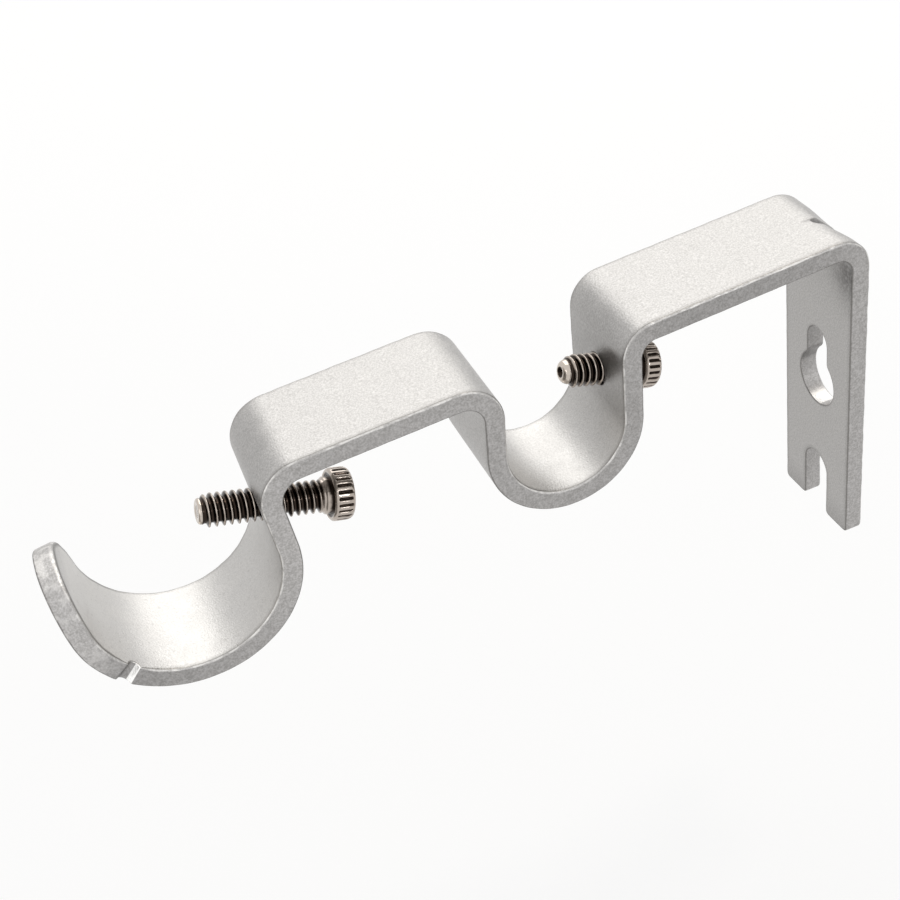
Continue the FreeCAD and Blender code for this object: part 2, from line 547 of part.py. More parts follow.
def screw_corners(side):
    """Corners of a thumb screw's half section, as its radius and its distance from the head's back."""
    shoulder = "+head_length "
    shank = shoulder + "+collar_length "
    tip = shank + "+%s_screw_length " % side
    plain_tip = "-%s_screw_tip_length " % side
    return [
        ("", ""),
        ("+head_radius -head_chamfer", ""),
        ("+head_radius", "+head_chamfer"),
        ("+head_radius", shoulder + "-head_chamfer"),
        ("+head_radius -head_chamfer", shoulder),
        ("+collar_radius", shoulder),
        ("+collar_radius", shank + "-collar_slope"),
        ("+screw_radius", shank),
        ("+screw_radius", tip + plain_tip + "-screw_tip_slope"),
        ("+screw_tip_radius", tip + plain_tip),
        ("+screw_tip_radius", tip + "-tip_chamfer"),
        ("+screw_tip_radius -tip_chamfer", tip),
        ("+tip_recess_radius", tip),
        ("+tip_recess_floor", tip + "-tip_recess_depth"),
        ("", tip + "-tip_recess_depth"),
    ]


def turn_screw(body, side):
    """The screw's turned form: its half section, revolved about its own Z axis."""
    profile = add_sketch(body, side.capitalize() + "Profile", "XZ_Plane")
    corners = screw_corners(side)
    points = [V(total(radius)[0], total(height)[0], 0) for radius, height in corners]
    lines = add_loop(profile, points)
    for index, (line, point, (radius, height)) in enumerate(zip(lines, points, corners)):
        if radius:
            constraint = Sketcher.Constraint("DistanceX", -1, 1, line, 1, point.x)
            bind(profile, constraint, "radius_%d" % index, total(radius)[1])
        else:
            profile.addConstraint(Sketcher.Constraint("PointOnObject", line, 1, -2))
        if height:
            constraint = Sketcher.Constraint("DistanceY", -1, 1, line, 1, point.y)
            bind(profile, constraint, "height_%d" % index, total(height)[1])
        else:
            profile.addConstraint(Sketcher.Constraint("PointOnObject", line, 1, -1))
    turned = body.newObject("PartDesign::Revolution", side.capitalize() + "Turned")
    turned.Profile = profile
    turned.ReferenceAxis = (origin_part(body, "Z_Axis"), [""])
    turned.Angle = 360
    profile.Visibility = False
    return turned


def knurl_head(body, side):
    """Straight V grooves along the head, evenly spaced around it."""
    sketch = add_sketch(body, side.capitalize() + "KnurlSketch", "XY_Plane")
    bottom = size["head_radius"] - size["knurl_depth"]
    outside = size["head_radius"] + size["knurl_depth"]
    half = size["knurl_width"]
    first, mouth, last = add_loop(sketch, [V(bottom, 0, 0), V(outside, -half, 0), V(outside, half, 0)])
    sketch.addConstraint(Sketcher.Constraint("PointOnObject", first, 1, -1))
    sketch.addConstraint(Sketcher.Constraint("Vertical", mouth))
    sketch.addConstraint(Sketcher.Constraint("Equal", first, last))
    rule = "Sizes.head_radius - Sizes.knurl_depth"
    bind(sketch, Sketcher.Constraint("DistanceX", -1, 1, first, 1, bottom), "bottom", rule)
    # The V goes on past the rim by its own depth, so its mouth is twice as wide as at the rim.
    rule = "Sizes.head_radius + Sizes.knurl_depth"
    bind(sketch, Sketcher.Constraint("DistanceX", -1, 1, mouth, 1, outside), "outside", rule)
    rule = "2 * Sizes.knurl_width"
    bind(sketch, Sketcher.Constraint("DistanceY", mouth, 1, mouth, 2, 2 * half), "mouth", rule)
    groove = add_pocket(body, side.capitalize() + "Groove", sketch, THROUGH_HEAD)
    doc.recompute()
    pattern = body.newObject("PartDesign::PolarPattern", side.capitalize() + "Knurl")
    pattern.Originals = [groove]
    pattern.Axis = (origin_part(body, "Z_Axis"), [""])
    pattern.Angle = 360
    pattern.setExpression("Occurrences", "Sizes.knurl_count")
    return pattern


def make_screw(side):
    """Thumb screw: its own Z axis points to the tip, and Z = 0 is the back of its head."""
    body = doc.addObject("PartDesign::Body", side.capitalize() + "ThumbScrew")
    body.Label = side + "_thumb_screw"
    turn_screw(body, side)
    doc.recompute()
    body.Tip = knurl_head(body, side)
    # The screw lies along its hole, with its collar back from the middle of the neck.
    body.Placement = FreeCAD.Placement(V(0, 0, 0), FreeCAD.Rotation(V(0, 1, 0), 10))
    back = "(Sizes.%s_screw_gap + Sizes.collar_length + Sizes.head_length) * 1 mm" % side
    hole = "CentreLine.Constraints.%s_hole_" % side
    body.setExpression("Placement.Base.x", hole + "x - " + back + " * cos(Sizes.screw_tilt)")
    body.setExpression("Placement.Base.z", hole + "z - " + back + " * sin(Sizes.screw_tilt)")
    body.setExpression("Placement.Rotation.Angle", "90 - Sizes.screw_tilt")
    doc.recompute()
    return body


def check(bodies):
    """Stops if any object failed or any sub-part isn't one valid solid."""
    for item in doc.Objects:
        bad = [state for state in item.State if state in ("Invalid", "Error")]
        if bad:
            raise RuntimeError("%s did not rebuild: %s" % (item.Label, bad))
    for body in bodies:
        shape = body.Shape
        if shape.isNull() or not shape.isValid() or len(shape.Solids) != 1:
            raise RuntimeError("%s is not one valid solid" % body.Label)


def main():
    """Builds the sheet and the three pieces, and writes one file for each."""
    make_sheet()
    bodies = [make_bracket(), make_screw("rear"), make_screw("front")]
    check(bodies)
    os.makedirs("parts", exist_ok=True)
    for body in bodies:
        solid = body.Shape.Solids[0]
        solid.exportStep("parts/%s.step" % body.Label)
        box = solid.BoundBox
        print("%s: volume %.1f mm3" % (body.Label, solid.Volume))
        print("  X %.2f to %.2f, Y %.2f to %.2f" % (box.XMin, box.XMax, box.YMin, box.YMax))
        print("  Z %.2f to %.2f" % (box.ZMin, box.ZMax))
    path = doc.getObject("CentreLine")
    for constraint in path.Constraints:
        if not constraint.Driving:
            print("%s %.3f" % (constraint.Name, constraint.Value))


main()
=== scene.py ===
# %% [markdown]
# # A double curtain pole bracket
# One strip of steel is bent into a wall leg, two arms and two open cups, and a thumb screw goes
# through the neck above each cup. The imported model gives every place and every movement. This
# lesson gives the strip its soft edges and satin plating, cuts the threads and the knurls of the
# screws, and lights the part as a small product in a pale studio.

# %% Load the frame
import json
import math
import bpy
import numpy as np
from mathutils import Matrix, Vector
from mathutils.geometry import delaunay_2d_cdt


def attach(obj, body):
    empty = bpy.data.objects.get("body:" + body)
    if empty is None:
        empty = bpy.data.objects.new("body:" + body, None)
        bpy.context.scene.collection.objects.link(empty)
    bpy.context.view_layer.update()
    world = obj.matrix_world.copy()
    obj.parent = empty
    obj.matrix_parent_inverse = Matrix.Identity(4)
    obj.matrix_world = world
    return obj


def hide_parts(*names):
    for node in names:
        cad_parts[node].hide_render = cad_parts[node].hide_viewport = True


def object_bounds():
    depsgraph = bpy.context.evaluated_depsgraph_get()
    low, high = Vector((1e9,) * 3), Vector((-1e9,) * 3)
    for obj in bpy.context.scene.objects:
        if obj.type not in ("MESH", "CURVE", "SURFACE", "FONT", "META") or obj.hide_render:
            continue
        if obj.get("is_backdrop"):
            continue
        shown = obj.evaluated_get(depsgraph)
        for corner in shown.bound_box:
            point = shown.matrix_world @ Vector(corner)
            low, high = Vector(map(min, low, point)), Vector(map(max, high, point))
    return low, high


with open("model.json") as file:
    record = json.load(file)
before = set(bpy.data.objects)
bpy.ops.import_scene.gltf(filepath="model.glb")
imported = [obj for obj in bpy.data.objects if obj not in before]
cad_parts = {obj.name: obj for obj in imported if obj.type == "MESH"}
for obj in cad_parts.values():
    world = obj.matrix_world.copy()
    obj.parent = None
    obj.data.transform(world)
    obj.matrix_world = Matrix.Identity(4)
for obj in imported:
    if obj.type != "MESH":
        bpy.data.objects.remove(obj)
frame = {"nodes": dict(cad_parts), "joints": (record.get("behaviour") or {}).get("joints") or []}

MM = 0.001
cad_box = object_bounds()
print("nodes:", sorted(frame["nodes"]))
print("size in mm:", [round(side / MM, 2) for side in cad_box[1] - cad_box[0]])

# %% [markdown]
# ## Helpers for colours and nodes
# Colours are easiest to judge as the hex values of a paint chart, but light adds up in linear
# values, so one function turns the first into the second. Every material is a small graph of
# nodes, and one function adds any node: an input that is given as a socket is linked, any other
# input is set, and what comes back is the output that the next node needs. Settings that many
# nodes share have a name.

# %% Colours and nodes
PLUS = {"operation": "ADD"}
MINUS = {"operation": "SUBTRACT"}
TIMES = {"operation": "MULTIPLY"}
LARGER = {"operation": "MAXIMUM"}
SMOOTH = {"interpolation_type": "SMOOTHSTEP"}
COLOURS = {"data_type": "RGBA"}
WHITE = (1, 1, 1, 1)


def linear(hex_colour):
    """Linear RGBA of an sRGB colour such as "C8C6C2"."""
    channels = [int(hex_colour[i:i + 2], 16) / 255 for i in (0, 2, 4)]
    return [c / 12.92 if c <= 0.04045 else ((c + 0.055) / 1.055) ** 2.4 for c in channels] + [1.0]


def add_node(tree, kind, inputs=(), output=0, **settings):
    """Adds a node with its settings, values and links, and gives back one of its outputs."""
    node = tree.nodes.new("ShaderNode" + kind)
    for name, value in settings.items():
        setattr(node, name, value)
    for name, value in inputs.items() if isinstance(inputs, dict) else enumerate(inputs):
        if isinstance(value, bpy.types.NodeSocket):
            tree.links.new(value, node.inputs[name])
        else:
            node.inputs[name].default_value = value
    return node.outputs[output] if node.outputs else None


def new_material(name):
    """An empty material and its tree."""
    material = bpy.data.materials.new(name)
    material.use_nodes = True
    material.node_tree.nodes.clear()
    return material, material.node_tree


print("mid grey is", round(linear("808080")[0], 3), "in linear light")

# %% [markdown]
# ## The camera
# The photograph looks down on the near edge of the strip from in front of the wall, with the
# camera rolled a little. A camera could be placed by eye, but then no edge can be compared. So
# its place, its angles and its focal length were worked out from the outline of the strip, and
# the render and the photograph lie over each other.

# %% Camera at the photograph's viewpoint
CAMERA_PLACE = Vector((100.41, 149.04, 139.96)) * MM
CAMERA_ANGLES = [math.radians(angle) for angle in (51.755, 8.788, 158.589)]
FOCAL_PIXELS = 1399.4
PICTURE_PIXELS = 900
SENSOR_MM = 36.0
NEAREST = 0.01
FARTHEST = 20.0

camera_data = bpy.data.cameras.new("photo_camera")
camera_data.sensor_width = SENSOR_MM
camera_data.lens = FOCAL_PIXELS / PICTURE_PIXELS * SENSOR_MM
camera_data.clip_start = NEAREST
camera_data.clip_end = FARTHEST
camera = bpy.data.objects.new("photo_camera", camera_data)
camera.location = CAMERA_PLACE
camera.rotation_euler = CAMERA_ANGLES
bpy.context.scene.collection.objects.link(camera)
bpy.context.scene.camera = camera
print("lens:", round(camera_data.lens, 1), "mm")

# %% [markdown]
# ## The studio
# A satin metal shows its surroundings more than its own colour. So the studio is built first: a
# pale floor under the part, a soft pale world and four area lights. A wide soft box above and
# behind the part whitens the faces that look up, and a smaller one stands in front of the lip.
# Two small lamps, one high over the wall's side and one on the camera's side, draw the brighter
# lights in the bends, in the cups and on the screws. The floor and the world are white to the
# camera and to reflections, and the floor keeps the part's soft shadow.

# %% Floor and world
FLOOR_DROP = 0.055
FLOOR_SIDE = 12.0
FLOOR_WHITE = 0.68
WORLD_LIGHT = 0.55


def seen_or_mirrored(tree):
    """One for a ray from the camera, off gloss or through glass, and zero for any other ray."""
    path = add_node(tree, "LightPath").node
    seen = path.outputs["Is Camera Ray"]
    for name in ("Is Glossy Ray", "Is Transmission Ray"):
        seen = add_node(tree, "Math", (seen, path.outputs[name]), **LARGER)
    return seen


def make_floor_paper():
    """White sweep paper: matt, and lifted to white where it is seen."""
    material, tree = new_material("white_sweep_paper")
    paper = add_node(tree, "BsdfDiffuse", {"Color": linear("F9F9F9")})
    white = add_node(tree, "Emission", {"Color": WHITE, "Strength": 1.0})
    share = add_node(tree, "Math", (seen_or_mirrored(tree), FLOOR_WHITE), **TIMES)
    mixed = add_node(tree, "MixShader", (share, paper, white))
    add_node(tree, "OutputMaterial", {"Surface": mixed})
    return material


half = FLOOR_SIDE / 2
floor_z = cad_box[0].z - FLOOR_DROP
floor_corners = [(x * half, y * half, floor_z) for x, y in ((-1, -1), (1, -1), (1, 1), (-1, 1))]
floor_mesh = bpy.data.meshes.new("floor")
floor_mesh.from_pydata(floor_corners, [], [(0, 1, 2, 3)])
floor = bpy.data.objects.new("floor", floor_mesh)
floor_mesh.materials.append(make_floor_paper())
bpy.context.scene.collection.objects.link(floor)
floor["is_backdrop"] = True

world = bpy.data.worlds.new("pale_studio")
bpy.context.scene.world = world
world.use_nodes = True
world_tree = world.node_tree
world_tree.nodes.clear()
soft = add_node(world_tree, "Background", {"Color": WHITE, "Strength": WORLD_LIGHT})
white = add_node(world_tree, "Background", {"Color": WHITE, "Strength": 1.0})
mixed = add_node(world_tree, "MixShader", (seen_or_mirrored(world_tree), soft, white))
add_node(world_tree, "OutputWorld", {"Surface": mixed})
bpy.context.scene.view_settings.view_transform = "Standard"
print("floor at", round(floor_z / MM, 1), "mm")

# %% Soft boxes and lamps
PART_MIDDLE = (cad_box[0] + cad_box[1]) / 2


def add_light(name, direction, distance, side, radiance, tint):
    """A square light that faces the part; its power follows from how bright it should look."""
    data = bpy.data.lights.new(name, "AREA")
    data.shape = "SQUARE"
    data.size = side
    data.energy = radiance * math.pi * side ** 2
    data.color = linear(tint)[:3]
    lamp = bpy.data.objects.new(name, data)
    towards = Vector(direction).normalized()
    lamp.location = PART_MIDDLE + towards * distance
    lamp.rotation_euler = towards.to_track_quat("Z", "Y").to_euler()
    bpy.context.scene.collection.objects.link(lamp)
    print(name, "power", round(data.energy, 2), "W")


add_light("top_soft_box", (-0.25, -0.60, 0.80), distance=0.9, side=1.1, radiance=1.32, tint="FFFEFB")
add_light("side_soft_box", (0.9, 0.35, 0.45), distance=1.1, side=0.5, radiance=1.2, tint="FFFFFF")
add_light("top_lamp", (-0.48, -0.12, 0.87), distance=1.0, side=0.14, radiance=12.0, tint="FFF3E2")
add_light("front_lamp", (-0.37, 0.84, 0.38), distance=1.0, side=0.14, radiance=9.0, tint="FFFFFF")

# %% [markdown]
# ## The blank of the strip
# A workshop cuts a flat blank with all its openings, tumbles it until its edges are round, and
# then folds it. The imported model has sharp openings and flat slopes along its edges, and a bevel
# modifier tears where they meet the bends. So the look is built in the workshop's order, first
# the outlines of the blank, as points on a flat sheet. The first number is the way along the
# strip from the foot, the second is the way across it, both in mm.
# The wall's face, the middle of the width and the land between the keyhole and the foot slot give
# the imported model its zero, so FOOT is the height of the strip's lower end there.

# %% Sizes of the strip
WIDTH = 17.0
THICKNESS = 2.9
HALF_WIDTH = WIDTH / 2
HALF_THICKNESS = THICKNESS / 2
FOOT = -15.8
LAND = 10.0
FOOT_CORNER = 0.65
SLOT_HALF = 2.9
SLOT_MOUTH = 0.6
KEY_RADIUS = 4.4
KEY_SLOT_HALF = 2.5
KEY_RISE = 6.8
KEY_MIDDLE = -FOOT + LAND / 2 + KEY_RADIUS
LIP_CORNER = 8.2
NOTCH_RADIUS = 0.95
NOTCH_BELOW_LEVEL = 43.0
HOLE_DROPS = {"rear_neck": 5.9, "front_neck": 4.8}
HOLE_RADIUS = 2.39
SCREW_TILT = 16.0
RUNS = [("leg", 48.5, 90.0), ("rear_arm", 28.0, -3.5), ("rear_neck", 9.1, -87.0), ("rise", 6.1, 95.0),
        ("front_arm", 22.2, -3.0), ("front_neck", 6.4, -94.0), ("lip", 8.4, 82.0)]
HEADINGS = {name: heading for name, _, heading in RUNS}
INSIDE_RADII = [2.2, 2.35, 8.75, 2.9, 3.25, 12.9]
print("strip of", WIDTH, "by", THICKNESS, "mm with", len(INSIDE_RADII), "bends")

# %% Path of the strip's middle
TOP_BEND = 1
REAR_CUP = 5
FRONT_CUP = 11


def heading_unit(degrees):
    """Unit vector in the XZ plane at an angle from +X towards +Z."""
    return np.array([math.cos(math.radians(degrees)), math.sin(math.radians(degrees))])


def lay_out_path():
    """Pieces of the centre line: name, start along the strip, length, start point, heading, curvature."""
    pieces = []
    point = np.array([HALF_THICKNESS, FOOT])
    along = 0.0
    for index, (name, length, heading) in enumerate(RUNS):
        pieces.append((name, along, length, point, heading, 0.0))
        along += length
        point = point + heading_unit(heading) * length
        if index < len(INSIDE_RADII):
            turn = RUNS[index + 1][2] - heading
            radius = INSIDE_RADII[index] + HALF_THICKNESS
            side = math.copysign(1.0, turn)
            pieces.append(("bend", along, radius * abs(math.radians(turn)), point, heading, side / radius))
            along += radius * abs(math.radians(turn))
            centre = point + heading_unit(heading + 90 * side) * radius
            point = centre - heading_unit(heading + turn + 90 * side) * radius
    return pieces, along


PATH, STRIP_LENGTH = lay_out_path()
STARTS = {name: start for name, start, *_ in PATH if name != "bend"}
CUP = PATH[FRONT_CUP]
NOTCH_ALONG = CUP[1] + math.radians(360 - NOTCH_BELOW_LEVEL - (CUP[4] + 270)) / CUP[5]
print("the blank is", round(STRIP_LENGTH, 1), "mm long")
print("the notch is", round(NOTCH_ALONG, 1), "mm from the foot")

# %% Arcs and even steps
POINT_STEP = 0.3


def arc(middle, radius, start, end):
    """Points of an arc, from one angle to another, in degrees from the way along towards across."""
    count = max(int(abs(math.radians(end - start)) * radius / POINT_STEP), 6)
    angles = np.radians(np.linspace(start, end, count + 1))
    return np.stack([middle[0] + radius * np.cos(angles), middle[1] + radius * np.sin(angles)], 1)


def even_loop(parts, step=POINT_STEP, rounds=0):
    """A closed outline through the parts, with even steps; rounds of averaging soften its corners."""
    loop = np.concatenate(parts + [parts[0][:1]])
    reach = np.concatenate([[0], np.cumsum(np.linalg.norm(np.diff(loop, axis=0), axis=1))])
    places = np.linspace(0, reach[-1], int(reach[-1] / step) + 1)[:-1]
    loop = np.stack([np.interp(places, reach, loop[:, i]) for i in (0, 1)], 1)
    for _ in range(rounds):
        loop = (np.roll(loop, 1, 0) + 2 * loop + np.roll(loop, -1, 0)) / 4
    return loop


print("the keyhole's round part would have", len(arc((0, 0), KEY_RADIUS, 0, 360)) - 1, "points")

# %% Outlines of the blank
KEYHOLE_STEP = 0.25
KEYHOLE_SOFTENING = 5
HOLE_POINTS = 60


def outer_outline():
    """Outline of the strip, from the slot's mouth round the near foot corner to the lip and back."""
    slot_top = -FOOT - LAND / 2 - SLOT_HALF
    near = HALF_WIDTH - FOOT_CORNER
    lip_middle = STRIP_LENGTH - LIP_CORNER
    lip_side = HALF_WIDTH - LIP_CORNER
    mouth = SLOT_HALF + SLOT_MOUTH
    return even_loop([
        arc((slot_top, 0), SLOT_HALF, -90, 90),
        arc((SLOT_MOUTH, mouth), SLOT_MOUTH, 270, 180),
        arc((FOOT_CORNER, near), FOOT_CORNER, 180, 90),
        arc((NOTCH_ALONG, HALF_WIDTH), NOTCH_RADIUS, 180, 360),
        arc((lip_middle, lip_side), LIP_CORNER, 90, 0),
        arc((lip_middle, -lip_side), LIP_CORNER, 0, -90),
        arc((FOOT_CORNER, -near), FOOT_CORNER, 270, 180),
        arc((SLOT_MOUTH, -mouth), SLOT_MOUTH, 180, 90),
    ], rounds=1)


def keyhole_outline():
    """Round hole with a narrower slot above it, its shoulders softened."""
    shoulder = math.degrees(math.asin(KEY_SLOT_HALF / KEY_RADIUS))
    return even_loop([
        arc((KEY_MIDDLE, 0), KEY_RADIUS, shoulder, 360 - shoulder),
        arc((KEY_MIDDLE + KEY_RISE, 0), KEY_SLOT_HALF, -90, 90),
    ], KEYHOLE_STEP, KEYHOLE_SOFTENING)


def screw_lean(neck):
    """Angle in radians between a screw and the straight way through its neck."""
    return math.radians(SCREW_TILT - HEADINGS[neck] - 90)


def screw_hole_outline(neck):
    """Where a screw hole leaves the middle of the strip: longer along the strip, as it is oblique."""
    angles = np.linspace(0, 2 * math.pi, HOLE_POINTS)[:-1]
    along = STARTS[neck] + HOLE_DROPS[neck] + HOLE_RADIUS / math.cos(screw_lean(neck)) * np.cos(angles)
    return np.stack([along, HOLE_RADIUS * np.sin(angles)], 1)


OUTLINES = {"outside": outer_outline(), "keyhole": keyhole_outline(),
            "rear_hole": screw_hole_outline("rear_neck"), "front_hole": screw_hole_outline("front_neck")}
for name, loop in OUTLINES.items():
    print(name, "points:", len(loop))

# %% [markdown]
# ## Fold the blank
# A bend modifier bends once, and this strip bends six times. So one function takes any place in
# the blank, along, across and up through its thickness, to its place in the folded strip. It also
# tilts the walls of the screw holes and presses the dart: a groove outside the top bend, with a
# steeper wall on the far side, a wide shallow dip on both sides of it and a rounded ridge inside.

# %% Press the dart
DART_SHIFT = 0.8
DART_RADIUS = 1.3
DART_DEPTH = 1.1
DART_FAR_WALL = 2.1
DART_NEAR_WALL = 0.8
DART_REACH = 9.0
DART_SIDE_REACH = 7.0
DIP_RADIUS = 30.0
DIP_DEPTH = 0.45
RIDGE_HEIGHT = 1.1
BLEND = 0.1


def soft_least(first, second, blend=BLEND):
    """The smaller of two values, with a rounded passage between them."""
    share = np.clip(0.5 + 0.5 * (second - first) / blend, 0, 1)
    return second + (first - second) * share - blend * share * (1 - share)


def press_dart(x, y, z, outside):
    """Presses the dart into points near the top bend; outside tells the bend's outer half."""
    inside_radius = INSIDE_RADII[0]
    square = heading_unit((RUNS[0][2] + RUNS[1][2]) / 2 + 90)
    middle = np.array([THICKNESS + inside_radius, FOOT + RUNS[0][1]])
    out = (x - middle[0]) * square[0] + (z - middle[1]) * square[1]
    off = y - DART_SHIFT
    skew = off * np.where(off < 0, DART_FAR_WALL, DART_NEAR_WALL)
    bowl = np.sqrt(np.maximum(DART_RADIUS ** 2 - skew ** 2, 0))
    groove = inside_radius + THICKNESS - DART_DEPTH + DART_RADIUS - bowl
    dip = inside_radius + THICKNESS - DIP_DEPTH + off ** 2 / (2 * DIP_RADIUS)
    outer = soft_least(soft_least(out, dip), groove)
    big = DART_RADIUS + THICKNESS
    ridge = inside_radius - RIDGE_HEIGHT + big - np.sqrt(np.maximum(big ** 2 - off ** 2, 0))
    inner = soft_least(out, ridge)
    near_bend = (np.abs(x - middle[0]) < DART_REACH) & (np.abs(z - middle[1]) < DART_REACH)
    near_bend &= np.abs(off) < DART_SIDE_REACH
    shift = np.where(near_bend, np.where(outside, outer, inner) - out, 0)
    return x + shift * square[0], z + shift * square[1]


print("the dart is", DART_DEPTH, "mm deep")

# %% The fold
LEAN_REACH = 3.0
LEAN_FADE = 2.4
NORMAL_STEP = 0.01


def lean_holes(along, across, up):
    """Places along the strip, shifted round the screw holes so that their walls lie along the screws."""
    along = along.copy()
    for neck, drop in HOLE_DROPS.items():
        reach = np.hypot(along - STARTS[neck] - drop, across)
        share = np.clip((HOLE_RADIUS + LEAN_REACH - reach) / LEAN_FADE, 0, 1)
        along -= share * up * math.tan(screw_lean(neck))
    return along


def fold(along, across, up):
    """Places in the folded strip, in mm; up is 0 in the middle of the thickness."""
    along = lean_holes(along, across, up)
    x = np.zeros_like(along)
    z = np.zeros_like(along)
    for index, (_, start, length, point, heading, curve) in enumerate(PATH):
        low = -math.inf if index == 0 else start
        high = math.inf if index == len(PATH) - 1 else start + length
        here = (along >= low) & (along < high)
        forward, sideways = along[here] - start, up[here]
        if curve:
            turn = forward * curve
            radius = 1 / curve - sideways
            forward, sideways = np.sin(turn) * radius, 1 / curve - np.cos(turn) * radius
        ahead, left = heading_unit(heading), heading_unit(heading + 90)
        x[here] = point[0] + forward * ahead[0] + sideways * left[0]
        z[here] = point[1] + forward * ahead[1] + sideways * left[1]
    x, z = press_dart(x, across, z, up > 0)
    return np.stack([x, across, z], 1)


def fold_normals(places, normals):
    """Unit normals in the folded strip, from normals in the blank and small steps of the fold."""
    slopes = []
    for axis in range(3):
        shift = np.zeros(3)
        shift[axis] = NORMAL_STEP
        ahead, behind = places + shift, places - shift
        slopes.append((fold(*ahead.T) - fold(*behind.T)) / (2 * NORMAL_STEP))
    first, second, third = slopes
    turned = (np.cross(second, third) * normals[:, :1] + np.cross(third, first) * normals[:, 1:2]
              + np.cross(first, second) * normals[:, 2:])
    return turned / np.linalg.norm(turned, axis=1)[:, None]


ends = fold(np.array([0.0, STRIP_LENGTH]), np.zeros(2), np.zeros(2))
print("foot at", ends[0].round(2), "lip at", ends[1].round(2))

# %% [markdown]
# ## Round the edges
# Around every outline the edge is rounded on both faces, with rings of points that turn from the
# wall to the broad face. Tumbling takes most from the lip, which sticks out, and least from the
# screw holes, which were reamed later. Shearing had already drawn the upper edge down, so the
# lower edge is only half as round. The rounding also wanders a little along the strip, as worn
# edges do. Between the rings the broad faces are filled with triangles, close together in bends.

# %% How round the edges are
EDGE_ROUND = 0.42
LIP_ROUND = 0.62
FOOT_ROUND = 0.4
SHEARED_SHARE = 0.5
KEY_ROUND = 0.34
HOLE_ROUND = 0.14
SLOW_WANDER = 0.04
QUICK_WANDER = 0.032
RING_COUNT = 7
WALL_COUNT = 3
LIP_REACH = 13.0
LIP_BLEND = 9.0
FOOT_REACH = 3.0
FOOT_BLEND = 2.5
NOTCH_REACH = 2.4
NOTCH_ROUND = 0.2
OPENING_BAND = 0.12
NOTCH_BAND = 0.06
CORNER_BAND = 0.1
WIDER_BAND = 0.35


def outward_of(loop):
    """Unit vectors that point out of the metal at each point of an outline."""
    ahead = np.roll(loop, -1, 0) - np.roll(loop, 1, 0)
    out = np.stack([-ahead[:, 1], ahead[:, 0]], 1)
    return out / np.linalg.norm(out, axis=1)[:, None]


def from_notch(loop):
    """How far each point lies from the notch, along the strip and across it together."""
    return np.abs(loop[:, 0] - NOTCH_ALONG) + np.abs(loop[:, 1] - HALF_WIDTH)


def rounding_of(name, loop):
    """Radius of the rounded edge at each point of an outline."""
    if name != "outside":
        return np.full(len(loop), KEY_ROUND if name == "keyhole" else HOLE_ROUND)
    along = loop[:, 0]
    off_slot = np.abs(loop[:, 1]) - SLOT_HALF - SLOT_MOUTH
    wander = SLOW_WANDER * np.sin(along * 0.9 + loop[:, 1]) + QUICK_WANDER * np.sin(along * 2.3 + 1)
    lip = np.clip((along - (STRIP_LENGTH - LIP_REACH)) / LIP_BLEND, 0, 1)
    foot = np.clip((FOOT_REACH - along) / FOOT_BLEND, 0, 1) * np.clip(off_slot / 0.8, 0, 1)
    rounding = EDGE_ROUND + wander
    rounding += (LIP_ROUND - EDGE_ROUND) * lip * lip * (3 - 2 * lip)
    rounding += (FOOT_ROUND - EDGE_ROUND) * foot
    away = from_notch(loop)
    at_notch = NOTCH_ROUND + NOTCH_ROUND * np.clip(away - NOTCH_REACH + 1, 0, 1)
    return np.where(away < NOTCH_REACH, np.minimum(rounding, at_notch), rounding)


def band_of(name, loop):
    """Width of the flat ring inside the rounded edge, narrow where the outline turns sharply."""
    if name != "outside":
        return np.full(len(loop), OPENING_BAND)
    away = from_notch(loop)
    wide = np.clip((loop[:, 0] - 2.5) / 1.5, 0, 1) * np.clip((away - NOTCH_REACH) / 2, 0, 1)
    return np.where(away < NOTCH_REACH, NOTCH_BAND, CORNER_BAND + WIDER_BAND * wide)


print("edges rounded from", HOLE_ROUND, "mm in the screw holes to", LIP_ROUND, "mm at the lip")

# %% Points of the broad faces
STRAIGHT_STEP = 0.9
BEND_STEP = 0.55
BEND_TURN = 0.065
COLUMNS = 20
COLUMN_MARGIN = 0.6
DART_STEP = 0.17
DART_ROWS_REACH = 5.5
DART_COLUMNS_REACH = 5.8
FINE_SHIFT = 0.04
GRID_GAP = 0.1


def grid_points():
    """Points for the inside of the broad faces: close together in bends and closest at the dart."""
    rows = []
    for _, start, length, _, _, curve in PATH:
        step = STRAIGHT_STEP if curve == 0 else min(BEND_STEP, BEND_TURN / abs(curve))
        rows.append(start + (np.arange(int(length / step)) + 0.5) * length / int(length / step))
    columns = np.linspace(-HALF_WIDTH + COLUMN_MARGIN, HALF_WIDTH - COLUMN_MARGIN, COLUMNS)
    grid = np.stack(np.meshgrid(np.concatenate(rows), columns), -1).reshape(-1, 2)
    _, start, length, *_ = PATH[TOP_BEND]
    middle = start + length / 2
    fine_rows = np.arange(middle - DART_ROWS_REACH, middle + DART_ROWS_REACH, DART_STEP)
    fine_columns = np.arange(DART_SHIFT - DART_COLUMNS_REACH, DART_SHIFT + DART_COLUMNS_REACH, DART_STEP)
    fine = np.stack(np.meshgrid(fine_rows, fine_columns + FINE_SHIFT), -1).reshape(-1, 2)
    beside = np.abs(grid[:, 0] - middle) > DART_ROWS_REACH + GRID_GAP
    beside |= np.abs(grid[:, 1] - DART_SHIFT) > DART_COLUMNS_REACH + GRID_GAP
    return np.concatenate([grid[beside], fine])


print("grid points:", len(grid_points()))

# %% Triangles of the broad faces
CLEAR_OF_RING = 0.22
BLOCK = 2000


